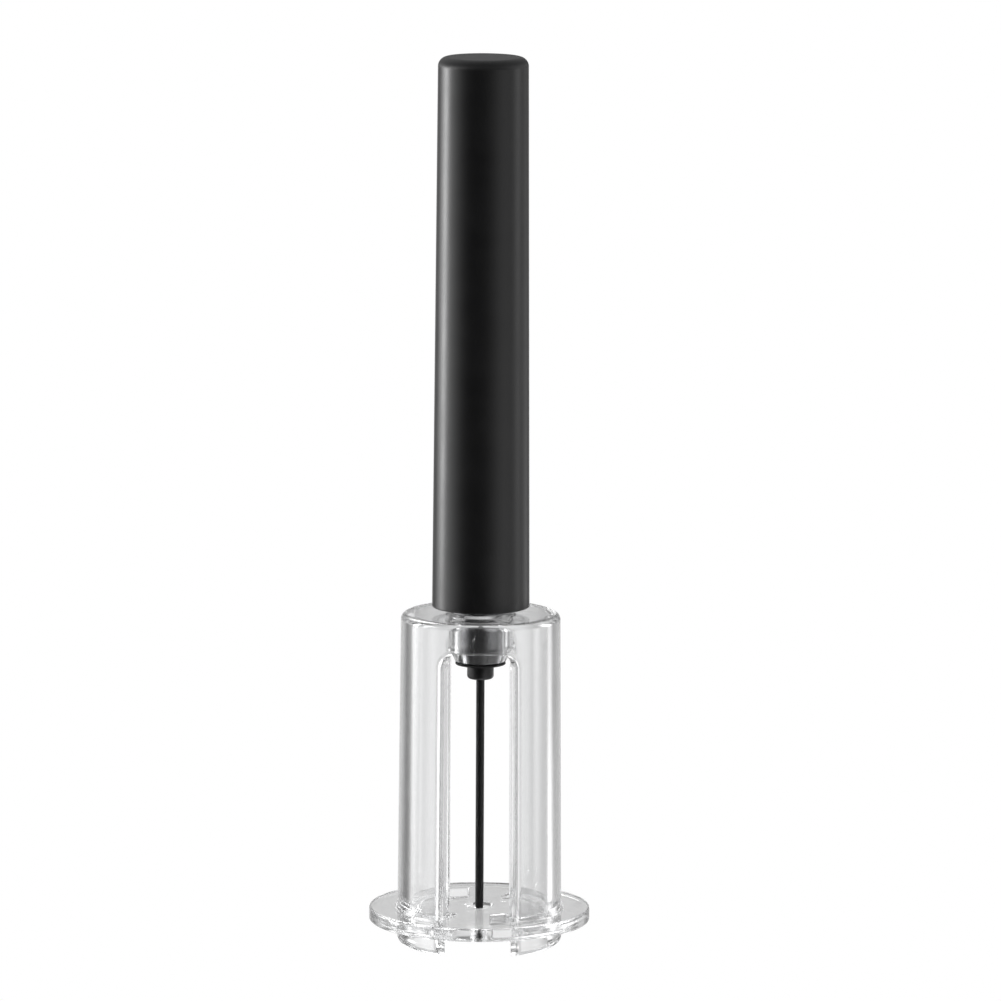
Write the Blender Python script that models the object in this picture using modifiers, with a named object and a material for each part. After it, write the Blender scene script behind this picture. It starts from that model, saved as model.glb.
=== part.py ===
"""Hand-pumped wine opener: a clear guide frame with a hollow needle, a pump handle that slides and
turns on a steel rod, and a clear disc that slides up the frame's legs when the needle enters a cork.

Frame: millimetres below, metres in Blender. The opener stands upright on its two feet, +Z up, with
the origin on the surface under the needle's axis. The windows between the legs face -Y and +Y.
"""
import math

import bmesh
import bpy
from mathutils import Matrix, Vector

MM = 0.001
COLLECTION = "wine_opener"

# Guide frame
FRAME_HEIGHT = 78.7
FRAME_FOOT_RADIUS = 19.4
FRAME_TAPER = 0.67
FRAME_TOP_FILLET = 1.5
FOOT_OUTER_FILLET = 1.6
FOOT_INNER_FILLET = 0.5
FRAME_WALL = 3.1
FRAME_CEILING_THICKNESS = 1.6
CEILING_FILLET = 0.5
WINDOW_HALF_ANGLE = math.radians(28.4)
WINDOW_HEAD = 7.1
WINDOW_CORNER = 3.2
RIB_DEPTH = 1.5
RIB_THICKNESS = 1.6
BOSS_WALL = 2.0
BOSS_LENGTH = 9.8
BOSS_END_WALL = 0.5
BOSS_CONE_LENGTH = 3.5
BOSS_FILLET = 0.8
RIB_END = 3.0
RIB_HEAD = 4.1
LUG_CATCH = 0.6
LUG_HEIGHT = 1.2
LUG_WIDTH = 8.0

# Guide disc
DISC_RADIUS = 26.0
DISC_THICKNESS = 3.2
DISC_HEIGHT = 5.4
DISC_FILLET = 0.5
RECESS_CLEARANCE = 0.32
RECESS_DEPTH = 0.7
SLOT_END_CLEARANCE = math.radians(1.2)
SLOT_LONG_END = 3.0
SLOT_POCKET_CLEARANCE = 3.9

# Needle and its hub
NEEDLE_RADIUS = 0.98
NEEDLE_BORE_RADIUS = 0.5
NEEDLE_TIP_LENGTH = 2.0
NEEDLE_TIP_INSET = 0.7
NEEDLE_VENT_RADIUS = 0.3
NEEDLE_SOCKET = 2.6
HUB_RADIUS = 3.13
HUB_LENGTH = 3.2
HUB_FILLET = 0.8
SPIGOT_RADIUS = 2.3
SPIGOT_LENGTH = 3.4
HUB_PASSAGE_RADIUS = 0.6
SPRING_POCKET_RADIUS = 1.5
SPRING_POCKET_DEPTH = 1.8
WASHER_INSET = 0.1
WASHER_THICKNESS = 0.5

# Mounting sleeve and check valve
SLEEVE_WALL = 0.9
SLEEVE_FLANGE_WIDTH = 2.4
SLEEVE_FLANGE_THICKNESS = 0.9
SLEEVE_EDGE = 0.25
ROD_SOCKET_DEPTH = 4.0
GASKET_THICKNESS = 0.6
GASKET_BORE_RADIUS = 2.8
VALVE_SEAT_THICKNESS = 1.4
VALVE_SEAT_CHAMFER = 0.5
VALVE_HOLE_RADIUS = 0.8
BALL_RADIUS = 1.4
SPRING_WIRE_RADIUS = 0.18
SPRING_RADIUS = 1.0
SPRING_TURNS = 4

# Piston rod and piston
ROD_RADIUS = 4.0
ROD_BORE_RADIUS = 2.4
PISTON_LENGTH = 9.0
PISTON_HEAD_THICKNESS = 3.2
PISTON_GROOVE_LENGTH = 3.6
PISTON_LAND = 2.7
CUP_BASE = 0.5
SCREW_FLANGE_WIDTH = 3.5
SCREW_FLANGE_THICKNESS = 1.2
SCREW_LENGTH = 8.0
SCREW_BORE_RADIUS = 0.9

# Handle and pump barrel
HANDLE_GAP = 1.5
HANDLE_LENGTH = 129.2
HANDLE_FOOT_RADIUS = 11.42
HANDLE_TAPER = 0.89
HANDLE_WALL = 1.2
HANDLE_TOP_WALL = 1.6
HANDLE_TOP_FILLET = 2.2
BARREL_CLEARANCE = 0.43
BARREL_WALL = 0.7
PLUG_FLANGE_THICKNESS = 1.6
PLUG_LENGTH = 4.4
O_RING_SECTION = 0.75
O_RING_SHOULDER = 1.1
BUSH_FLANGE_THICKNESS = 3.0
BUSH_LENGTH = 11.0
WIPER_SHOULDER = 0.8
WIPER_HEIGHT = 1.4
WIPER_WIDTH = 1.5
CLIP_HEIGHT = 0.6
CLIP_WIDTH = 1.5
CLIP_OPENING = 4.0
BUMPER_THICKNESS = 0.9
BUMPER_CLEARANCE = 1.5

# Fits
GAP = 0.3
SEAL_GAP = 0.2
BALL_GAP = 0.1
END_PLAY = 0.6

# Facets round a full turn
LARGE = 64
MEDIUM = 40
SMALL = 20
FILLET_SEGMENTS = 3

# Heights up the frame, the needle and the valve, worked out from the sizes above
CEILING = FRAME_HEIGHT - FRAME_CEILING_THICKNESS
WINDOW_TOP = FRAME_HEIGHT - WINDOW_HEAD
BOSS_END = CEILING - BOSS_LENGTH
WASHER_TOP = BOSS_END - GAP
HUB_TOP = WASHER_TOP - WASHER_THICKNESS - GAP
HUB_BOTTOM = HUB_TOP - HUB_LENGTH
SPIGOT_TOP = HUB_TOP + SPIGOT_LENGTH
SPRING_FLOOR = SPIGOT_TOP - SPRING_POCKET_DEPTH
DISC_TOP = DISC_HEIGHT + DISC_THICKNESS
NEEDLE_TIP = DISC_HEIGHT + NEEDLE_TIP_INSET
NEEDLE_TOP = HUB_BOTTOM + NEEDLE_SOCKET
FLANGE_BOTTOM = FRAME_HEIGHT + GAP
FLANGE_TOP = FLANGE_BOTTOM + SLEEVE_FLANGE_THICKNESS
ROD_BOTTOM = FLANGE_TOP - ROD_SOCKET_DEPTH
GASKET_TOP = ROD_BOTTOM - GAP
SOCKET_FLOOR = GASKET_TOP - GASKET_THICKNESS - GAP
SEAT_TOP = SOCKET_FLOOR - GAP
SEAT_BOTTOM = SEAT_TOP - VALVE_SEAT_THICKNESS
BALL_REACH = math.sqrt((BALL_RADIUS + BALL_GAP) ** 2 - VALVE_HOLE_RADIUS ** 2)
BALL_CENTRE = SEAT_BOTTOM + VALVE_SEAT_CHAMFER - BALL_REACH
SPRING_REACH = BALL_RADIUS + SPRING_WIRE_RADIUS + BALL_GAP
SPRING_TOP = BALL_CENTRE - math.sqrt(SPRING_REACH ** 2 - SPRING_RADIUS ** 2)

# Heights up the handle and the pump
HANDLE_BOTTOM = FRAME_HEIGHT + HANDLE_GAP
HANDLE_TOP = HANDLE_BOTTOM + HANDLE_LENGTH
HANDLE_CEILING = HANDLE_TOP - HANDLE_TOP_WALL
BUMPER_BOTTOM = FLANGE_TOP + GAP
BUMPER_TOP = BUMPER_BOTTOM + BUMPER_THICKNESS
BUSH_BOTTOM = BUMPER_TOP + GAP
BUSH_SHOULDER = BUSH_BOTTOM + BUSH_FLANGE_THICKNESS
CLIP_TOP = BUSH_BOTTOM - GAP
BARREL_BOTTOM = BUSH_SHOULDER + GAP
PLUG_TOP = HANDLE_CEILING - GAP
PLUG_SHOULDER = PLUG_TOP - PLUG_FLANGE_THICKNESS
BARREL_TOP = PLUG_SHOULDER - GAP
PLUG_BOTTOM = PLUG_SHOULDER - PLUG_LENGTH
SCREW_TOP = PLUG_BOTTOM - END_PLAY
PISTON_TOP = SCREW_TOP - SCREW_FLANGE_THICKNESS - GAP
PISTON_BOTTOM = PISTON_TOP - PISTON_LENGTH
ROD_TOP = PISTON_TOP - PISTON_HEAD_THICKNESS - GAP

# Radii that fit one piece to another
ROD_SOCKET_RADIUS = ROD_RADIUS + GAP
SLEEVE_RADIUS = ROD_SOCKET_RADIUS + SLEEVE_WALL
SLEEVE_FLANGE_RADIUS = SLEEVE_RADIUS + SLEEVE_FLANGE_WIDTH
SLEEVE_BORE_RADIUS = SPIGOT_RADIUS + GAP
BOSS_BORE_RADIUS = SLEEVE_RADIUS + GAP
BOSS_RADIUS = BOSS_BORE_RADIUS + BOSS_WALL
BOSS_END_RADIUS = BOSS_BORE_RADIUS + BOSS_END_WALL
WASHER_RADIUS = BOSS_END_RADIUS - WASHER_INSET
RECESS_RADIUS = HUB_RADIUS + RECESS_CLEARANCE
FRAME_TOP_RADIUS = FRAME_FOOT_RADIUS - FRAME_TAPER
HANDLE_TOP_RADIUS = HANDLE_FOOT_RADIUS - HANDLE_TAPER
BARREL_RADIUS = HANDLE_TOP_RADIUS - HANDLE_WALL - BARREL_CLEARANCE
BARREL_BORE_RADIUS = BARREL_RADIUS - BARREL_WALL
PISTON_RADIUS = BARREL_BORE_RADIUS - GAP
GROOVE_RADIUS = (ROD_SOCKET_RADIUS + PISTON_RADIUS) / 2
SCREW_RADIUS = ROD_BORE_RADIUS - GAP
SCREW_FLANGE_RADIUS = SCREW_RADIUS + SCREW_FLANGE_WIDTH
RIB_INNER_RADIUS = FRAME_FOOT_RADIUS - FRAME_WALL - RIB_DEPTH
LEG_HALF_ANGLE = math.pi / 2 - WINDOW_HALF_ANGLE


def frame_radius(height):
    """Outer radius of the tapered frame at a height."""
    return FRAME_FOOT_RADIUS + (FRAME_TOP_RADIUS - FRAME_FOOT_RADIUS) * height / FRAME_HEIGHT


def handle_radius(height):
    """Outer radius of the tapered handle at a height."""
    share = (height - HANDLE_BOTTOM) / HANDLE_LENGTH
    return HANDLE_FOOT_RADIUS + (HANDLE_TOP_RADIUS - HANDLE_FOOT_RADIUS) * share


# Radii that follow the tapers of the frame and the handle
SLOT_INNER_RADIUS = frame_radius(WINDOW_TOP) - FRAME_WALL - GAP
CLIP_OUTER_RADIUS = handle_radius(CLIP_TOP) - HANDLE_WALL - GAP
CLIP_INNER_RADIUS = CLIP_OUTER_RADIUS - CLIP_WIDTH
BUMPER_RADIUS = CLIP_INNER_RADIUS - BUMPER_CLEARANCE


def clear_scene():
    for old in list(bpy.data.objects):
        bpy.data.objects.remove(old, do_unlink=True)


def new_collection(name):
    made = bpy.data.collections.new(name)
    bpy.context.scene.collection.children.link(made)
    return made


def new_material(name, colour, roughness, metallic=0.0, transmission=0.0):
    made = bpy.data.materials.new(name)
    made.use_nodes = True
    shader = made.node_tree.nodes["Principled BSDF"]
    shader.inputs["Base Color"].default_value = (*colour, 1.0)
    shader.inputs["Roughness"].default_value = roughness
    shader.inputs["Metallic"].default_value = metallic
    shader.inputs["Transmission Weight"].default_value = transmission
    return made


def empty(name, height):
    """A joint's own axis point, on the centre line at a height."""
    made = bpy.data.objects.new(name, None)
    made.location = (0, 0, height * MM)
    parts.objects.link(made)
    return made


def fillet(before, corner, after, radius, segments=FILLET_SEGMENTS):
    """Points of an arc that rounds a corner of an outline."""
    corner = Vector(corner)
    back = (Vector(before) - corner).normalized()
    ahead = (Vector(after) - corner).normalized()
    half = back.angle(ahead) / 2
    setback = radius / math.tan(half)
    centre = corner + (back + ahead).normalized() * (radius / math.sin(half))
    start = corner + back * setback - centre
    end = corner + ahead * setback - centre
    turn = start.angle(end)
    points = []
    for step in range(segments + 1):
        share = step / segments
        mixed = start * math.sin((1 - share) * turn) + end * math.sin(share * turn)
        points.append(tuple(centre + mixed / math.sin(turn)))
    return points


def rounded(corners, closed=True):
    """Replaces each corner (x, y, radius) that has a radius by an arc."""
    points = []
    for index, corner in enumerate(corners):
        if len(corner) == 2:
            points.append(corner)
            continue
        before = corners[index - 1][:2]
        after = corners[(index + 1) % len(corners)][:2]
        points.extend(fillet(before, corner[:2], after, corner[2]))
    return points


def place(made, material, base, parent):
    """Sets a finished object's material and its place on the centre line."""
    made.data.materials.append(material)
    if parent is None:
        made.location = (0, 0, base * MM)
    else:
        made.parent = parent
        made.location = (0, 0, base * MM - parent.location.z)
    return made


def turned(name, corners, material, steps=MEDIUM, parent=None, group=None):
    """A turned piece. Its outline of (radius, height) corners runs down its outer side."""
    outline = rounded(corners)
    base = min(height for _, height in outline)
    solid = outline[0][0] == 0
    data = bpy.data.meshes.new(name)
    points = [(radius * MM, 0, (height - base) * MM) for radius, height in outline]
    count = len(points)
    edges = [(index, (index + 1) % count) for index in range(count - (1 if solid else 0))]
    data.from_pydata(points, edges, [])
    made = bpy.data.objects.new(name, data)
    (group or parts).objects.link(made)
    screw = made.modifiers.new("turn", "SCREW")
    screw.steps = steps
    screw.render_steps = steps
    screw.use_merge_vertices = True
    screw.merge_threshold = 0.00001
    screw.use_smooth_shade = True
    return place(made, material, base, parent)


def prism(name, outline, bottom, top):
    """A cutter or an addition with a flat outline, between two heights."""
    curve = bpy.data.curves.new(name, "CURVE")
    curve.dimensions = "2D"
    curve.fill_mode = "BOTH"
    curve.extrude = (top - bottom) / 2 * MM
    spline = curve.splines.new("POLY")
    spline.points.add(len(outline) - 1)
    for point, (x, y) in zip(spline.points, outline):
        point.co = (x * MM, y * MM, 0, 1)
    spline.use_cyclic_u = True
    drawn = bpy.data.objects.new(name, curve)
    guides.objects.link(drawn)
    data = bpy.data.meshes.new_from_object(
        drawn.evaluated_get(bpy.context.evaluated_depsgraph_get()))
    bpy.data.objects.remove(drawn, do_unlink=True)
    weld(data)
    made = bpy.data.objects.new(name, data)
    made.location = (0, 0, (bottom + top) / 2 * MM)
    return guide(made)


def weld(data):
    """Joins the loose caps of a mesh that was a curve."""
    shape = bmesh.new()
    shape.from_mesh(data)
    bmesh.ops.remove_doubles(shape, verts=shape.verts, dist=0.000001)
    bmesh.ops.recalc_face_normals(shape, faces=shape.faces)
    shape.to_mesh(data)
    shape.free()


def guide(made):
    """Keeps a cutter or an addition out of the model."""
    if made.name not in guides.objects:
        guides.objects.link(made)
    made.hide_render = True
    made.display_type = "WIRE"
    return made


def combine(made, other, operation):
    change = made.modifiers.new(operation.lower(), "BOOLEAN")
    change.operation = operation
    change.object = other
    change.solver = "EXACT"


def box(name, low, high, turn=0.0):
    """A box guide between two corners, turned about the centre line."""
    shape = bmesh.new()
    bmesh.ops.create_cube(shape, size=1.0)
    size = [(b - a) * MM for a, b in zip(low, high)]
    middle = [(a + b) / 2 * MM for a, b in zip(low, high)]
    bmesh.ops.scale(shape, vec=size, verts=shape.verts)
    bmesh.ops.translate(shape, vec=middle, verts=shape.verts)
    bmesh.ops.rotate(shape, verts=shape.verts, matrix=Matrix.Rotation(turn, 3, "Z"))
    data = bpy.data.meshes.new(name)
    shape.to_mesh(data)
    shape.free()
    return guide(bpy.data.objects.new(name, data))


def window(name, turn):
    """A wedge that opens the frame between its legs, with rounded upper corners."""
    near, far = BOSS_RADIUS + FRAME_WALL / 2, FRAME_FOOT_RADIUS + FRAME_WALL
    shape = bmesh.new()
    bmesh.ops.create_cube(shape, size=1.0)
    for vert in shape.verts:
        reach = far if vert.co.y < 0 else near
        half = reach * math.tan(WINDOW_HALF_ANGLE)
        height = WINDOW_TOP if vert.co.z > 0 else -FRAME_WALL
        vert.co = (math.copysign(half, vert.co.x) * MM, -reach * MM, height * MM)
    upper = [edge for edge in shape.edges
             if all(vert.co.z > 0 for vert in edge.verts)
             and edge.verts[0].co.y != edge.verts[1].co.y]
    bmesh.ops.bevel(shape, geom=upper, offset=WINDOW_CORNER * MM, segments=6,
                    profile=0.5, affect="EDGES", offset_type="OFFSET")
    bmesh.ops.rotate(shape, verts=shape.verts, matrix=Matrix.Rotation(turn, 3, "Z"))
    bmesh.ops.recalc_face_normals(shape, faces=shape.faces)
    data = bpy.data.meshes.new(name)
    shape.to_mesh(data)
    shape.free()
    return guide(bpy.data.objects.new(name, data))


def arc(radius, start, end, segments=24):
    """Points of an arc about the centre line, in plan."""
    angles = [start + (end - start) * step / segments for step in range(segments + 1)]
    return [(radius * math.cos(angle), radius * math.sin(angle)) for angle in angles]


def slot_outline():
    """The opening round one leg: narrow at the leg's wall and deep at its two ribs. One end runs on
    past the leg to a straight edge, so that the disc can be turned past the lugs when it is fitted."""
    outer = frame_radius(DISC_HEIGHT) + GAP
    pocket = RIB_INNER_RADIUS - SLOT_POCKET_CLEARANCE
    rib_end = LEG_HALF_ANGLE - (RIB_THICKNESS + GAP) / (RIB_INNER_RADIUS - GAP)
    short_end = LEG_HALF_ANGLE + SLOT_END_CLEARANCE
    outer_end = math.asin(SLOT_LONG_END / outer) - math.pi / 2
    pocket_end = math.asin(SLOT_LONG_END / pocket) - math.pi / 2
    return (arc(outer, outer_end, short_end, 35)
            + arc(pocket, short_end, rib_end, 5)
            + arc(SLOT_INNER_RADIUS, rib_end, -rib_end, 21)
            + arc(pocket, -rib_end, pocket_end, 9))


def guide_frame():
    """The clear frame: a closed top with a boss for the sleeve, and two ribbed legs."""
    wall_top = frame_radius(CEILING) - FRAME_WALL
    foot_inner = FRAME_FOOT_RADIUS - FRAME_WALL
    cone_top = BOSS_END + BOSS_CONE_LENGTH
    frame = turned("guide_frame", [
        (BOSS_BORE_RADIUS, FRAME_HEIGHT),
        (FRAME_TOP_RADIUS, FRAME_HEIGHT, FRAME_TOP_FILLET),
        (FRAME_FOOT_RADIUS, 0, FOOT_OUTER_FILLET),
        (foot_inner, 0, FOOT_INNER_FILLET),
        (wall_top, CEILING, CEILING_FILLET),
        (BOSS_RADIUS, CEILING, BOSS_FILLET),
        (BOSS_RADIUS, cone_top),
        (BOSS_END_RADIUS, BOSS_END),
        (BOSS_BORE_RADIUS, BOSS_END),
    ], clear, LARGE)
    for index, side in enumerate((-1, 1)):
        middle = math.pi / 2 * (1 - side)
        for end in (-1, 1):
            turn = middle + end * LEG_HALF_ANGLE
            low_y, high_y = (-RIB_THICKNESS, GAP) if end > 0 else (-GAP, RIB_THICKNESS)
            combine(frame, box(f"rib_{index}_{end}", (RIB_INNER_RADIUS, low_y, RIB_END),
                               (FRAME_FOOT_RADIUS - FRAME_WALL / 2, high_y, WINDOW_TOP - RIB_HEAD), turn), "UNION")
    combine(frame, window("front_window", 0), "DIFFERENCE")
    combine(frame, window("back_window", math.pi), "DIFFERENCE")
    lug_inner = SLOT_INNER_RADIUS - LUG_CATCH
    lug_top = DISC_HEIGHT - GAP
    for index, turn in enumerate((0, math.pi)):
        combine(frame, box(f"lug_{index}", (lug_inner, -LUG_WIDTH / 2, lug_top - LUG_HEIGHT),
                           (FRAME_FOOT_RADIUS - FRAME_WALL / 2, LUG_WIDTH / 2, lug_top), turn), "UNION")
    return frame


def guide_disc():
    """The clear disc that rests on the bottle, with a slot for each leg and a hole for the needle."""
    hole = NEEDLE_RADIUS + GAP
    disc = turned("guide_disc", [
        (hole, DISC_TOP - RECESS_DEPTH),
        (RECESS_RADIUS, DISC_TOP - RECESS_DEPTH),
        (RECESS_RADIUS, DISC_TOP),
        (DISC_RADIUS, DISC_TOP, DISC_FILLET),
        (DISC_RADIUS, DISC_HEIGHT, DISC_FILLET),
        (hole, DISC_HEIGHT),
    ], clear, LARGE, disc_joint)
    for index, turn in enumerate((0, math.pi)):
        slot = prism(f"slot_{index}", slot_outline(), DISC_HEIGHT - DISC_THICKNESS,
                     DISC_TOP + DISC_THICKNESS)
        slot.rotation_euler = (0, 0, turn)
        combine(disc, slot, "DIFFERENCE")
    return disc


def needle_and_hub():
    """The hollow coated needle, with a side vent near its closed point, in its black hub."""
    bore_end = NEEDLE_TIP + NEEDLE_TIP_LENGTH
    needle = turned("needle", [
        (0, bore_end),
        (NEEDLE_BORE_RADIUS, bore_end + NEEDLE_BORE_RADIUS),
        (NEEDLE_BORE_RADIUS, NEEDLE_TOP),
        (NEEDLE_RADIUS, NEEDLE_TOP),
        (NEEDLE_RADIUS, NEEDLE_TIP + NEEDLE_TIP_LENGTH),
        (0, NEEDLE_TIP),
    ], black_coating, SMALL)
    vent_height = bore_end + 3 * NEEDLE_VENT_RADIUS + NEEDLE_BORE_RADIUS
    vent = box("vent", (0, -NEEDLE_VENT_RADIUS, vent_height - NEEDLE_VENT_RADIUS),
               (2 * NEEDLE_RADIUS, NEEDLE_VENT_RADIUS, vent_height + NEEDLE_VENT_RADIUS))
    combine(needle, vent, "DIFFERENCE")
    socket = NEEDLE_RADIUS + GAP
    turned("needle_hub", [
        (SPRING_POCKET_RADIUS, SPIGOT_TOP),
        (SPIGOT_RADIUS, SPIGOT_TOP),
        (SPIGOT_RADIUS, HUB_TOP),
        (HUB_RADIUS, HUB_TOP),
        (HUB_RADIUS, HUB_BOTTOM, HUB_FILLET),
        (socket, HUB_BOTTOM),
        (socket, NEEDLE_TOP + GAP),
        (HUB_PASSAGE_RADIUS, NEEDLE_TOP + GAP),
        (HUB_PASSAGE_RADIUS, SPRING_FLOOR),
        (SPRING_POCKET_RADIUS, SPRING_FLOOR),
    ], black_plastic, SMALL)
    ring("sealing_washer", SPIGOT_RADIUS + GAP, WASHER_RADIUS, WASHER_TOP - WASHER_THICKNESS,
         WASHER_TOP, rubber)


def ring(name, inner, outer, bottom, top, material, steps=SMALL, parent=None):
    """A plain turned ring or tube."""
    corners = [(inner, top), (outer, top), (outer, bottom), (inner, bottom)]
    return turned(name, corners, material, steps, parent)


def mounting_sleeve():
    """The flanged steel sleeve that holds the rod in the frame's boss."""
    turned("mounting_sleeve", [
        (ROD_SOCKET_RADIUS, FLANGE_TOP),
        (SLEEVE_FLANGE_RADIUS, FLANGE_TOP, SLEEVE_EDGE),
        (SLEEVE_FLANGE_RADIUS, FLANGE_BOTTOM, SLEEVE_EDGE),
        (SLEEVE_RADIUS, FLANGE_BOTTOM),
        (SLEEVE_RADIUS, BOSS_END, SLEEVE_EDGE),
        (SLEEVE_BORE_RADIUS, BOSS_END),
        (SLEEVE_BORE_RADIUS, SOCKET_FLOOR),
        (ROD_SOCKET_RADIUS, SOCKET_FLOOR),
    ], steel, MEDIUM)
    ring("rod_gasket", GASKET_BORE_RADIUS, ROD_RADIUS, GASKET_TOP - GASKET_THICKNESS, GASKET_TOP, rubber)


def check_valve():
    """The seat, ball and spring that let air pass down to the needle and not back."""
    seat_radius = SLEEVE_BORE_RADIUS - GAP
    mouth = VALVE_HOLE_RADIUS + VALVE_SEAT_CHAMFER
    turned("valve_seat", [
        (VALVE_HOLE_RADIUS, SEAT_TOP),
        (seat_radius, SEAT_TOP),
        (seat_radius, SEAT_BOTTOM),
        (mouth, SEAT_BOTTOM),
        (VALVE_HOLE_RADIUS, SEAT_BOTTOM + VALVE_SEAT_CHAMFER),
    ], brass, SMALL)
    shape = bmesh.new()
    bmesh.ops.create_uvsphere(shape, u_segments=16, v_segments=10, radius=BALL_RADIUS * MM)
    data = bpy.data.meshes.new("valve_ball")
    shape.to_mesh(data)
    shape.free()
    ball = bpy.data.objects.new("valve_ball", data)
    parts.objects.link(ball)
    place(ball, steel, BALL_CENTRE, ball_joint)
    valve_spring()


def valve_spring():
    """A small coil from the hub's pocket to the underside of the ball."""
    bottom = SPRING_FLOOR + SPRING_WIRE_RADIUS + BALL_GAP
    curve = bpy.data.curves.new("valve_spring", "CURVE")
    curve.dimensions = "3D"
    curve.bevel_depth = SPRING_WIRE_RADIUS * MM
    curve.bevel_resolution = 1
    curve.use_fill_caps = True
    count = SPRING_TURNS * 12
    spline = curve.splines.new("POLY")
    spline.points.add(count)
    for index in range(count + 1):
        angle = 2 * math.pi * index / 12
        height = (SPRING_TOP - bottom) * index / count
        spline.points[index].co = (SPRING_RADIUS * math.cos(angle) * MM,
                                   SPRING_RADIUS * math.sin(angle) * MM, height * MM, 1)
    spring = bpy.data.objects.new("valve_spring", curve)
    parts.objects.link(spring)
    place(spring, steel, bottom, None)


def rod_and_piston():
    """The hollow rod, and the piston that a hollow screw holds on its upper end."""
    ring("piston_rod", ROD_BORE_RADIUS, ROD_RADIUS, ROD_BOTTOM, ROD_TOP, steel, MEDIUM)
    groove_bottom = PISTON_BOTTOM + PISTON_LAND
    groove_top = groove_bottom + PISTON_GROOVE_LENGTH
    turned("piston_head", [
        (ROD_BORE_RADIUS, PISTON_TOP),
        (PISTON_RADIUS, PISTON_TOP),
        (PISTON_RADIUS, groove_top),
        (GROOVE_RADIUS, groove_top),
        (GROOVE_RADIUS, groove_bottom),
        (PISTON_RADIUS, groove_bottom),
        (PISTON_RADIUS, PISTON_BOTTOM),
        (ROD_SOCKET_RADIUS, PISTON_BOTTOM),
        (ROD_SOCKET_RADIUS, ROD_TOP + GAP),
        (ROD_BORE_RADIUS, ROD_TOP + GAP),
    ], white_plastic, MEDIUM)
    cup_bottom = groove_bottom + GAP
    cup_top = groove_top - GAP
    cup_inner = GROOVE_RADIUS + SEAL_GAP
    cup_outer = BARREL_BORE_RADIUS - SEAL_GAP
    lip = (cup_outer - cup_inner) / 3
    turned("piston_cup_seal", [
        (cup_outer - lip, cup_top),
        (cup_outer, cup_top),
        (PISTON_RADIUS, cup_bottom),
        (cup_inner, cup_bottom),
        (cup_inner, cup_top),
        (cup_inner + lip, cup_top),
        ((cup_inner + cup_outer) / 2, cup_bottom + CUP_BASE),
    ], rubber, MEDIUM)
    turned("piston_screw", [
        (SCREW_BORE_RADIUS, SCREW_TOP),
        (SCREW_FLANGE_RADIUS, SCREW_TOP),
        (SCREW_FLANGE_RADIUS, SCREW_TOP - SCREW_FLANGE_THICKNESS),
        (SCREW_RADIUS, SCREW_TOP - SCREW_FLANGE_THICKNESS),
        (SCREW_RADIUS, SCREW_TOP - SCREW_LENGTH),
        (SCREW_BORE_RADIUS, SCREW_TOP - SCREW_LENGTH),
    ], brass, SMALL)
    ring("bumper_ring", ROD_SOCKET_RADIUS, BUMPER_RADIUS, BUMPER_BOTTOM, BUMPER_TOP, rubber)


def handle():
    """The black sleeve of the handle, closed at its rounded top."""
    inner_foot = handle_radius(HANDLE_BOTTOM) - HANDLE_WALL
    inner_top = handle_radius(HANDLE_CEILING) - HANDLE_WALL
    turned("handle_shell", [
        (0, HANDLE_CEILING),
        (inner_top, HANDLE_CEILING),
        (inner_foot, HANDLE_BOTTOM),
        (HANDLE_FOOT_RADIUS, HANDLE_BOTTOM),
        (HANDLE_TOP_RADIUS, HANDLE_TOP, HANDLE_TOP_FILLET),
        (0, HANDLE_TOP),
    ][::-1], black_plastic, LARGE, handle_joint)


def pump_barrel():
    """The pump's barrel in the handle, the plug that closes its top and the plug's O-ring."""
    ring("pump_barrel", BARREL_BORE_RADIUS, BARREL_RADIUS, BARREL_BOTTOM, BARREL_TOP,
         aluminium, MEDIUM, handle_joint)
    spigot = BARREL_BORE_RADIUS - GAP
    ring_centre = BARREL_BORE_RADIUS - SEAL_GAP - O_RING_SECTION
    groove = ring_centre - O_RING_SECTION - SEAL_GAP
    groove_top = PLUG_SHOULDER - O_RING_SHOULDER
    groove_bottom = groove_top - 2 * (O_RING_SECTION + SEAL_GAP)
    turned("barrel_plug", [
        (0, PLUG_TOP),
        (BARREL_RADIUS, PLUG_TOP),
        (BARREL_RADIUS, PLUG_SHOULDER),
        (spigot, PLUG_SHOULDER),
        (spigot, groove_top),
        (groove, groove_top),
        (groove, groove_bottom),
        (spigot, groove_bottom),
        (spigot, PLUG_BOTTOM),
        (0, PLUG_BOTTOM),
    ], white_plastic, MEDIUM, handle_joint)
    middle = (groove_top + groove_bottom) / 2
    section = [(ring_centre + O_RING_SECTION * math.sin(2 * math.pi * step / 8),
                middle + O_RING_SECTION * math.cos(2 * math.pi * step / 8)) for step in range(8)]
    turned("plug_o_ring", section, rubber, MEDIUM, handle_joint)


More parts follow.
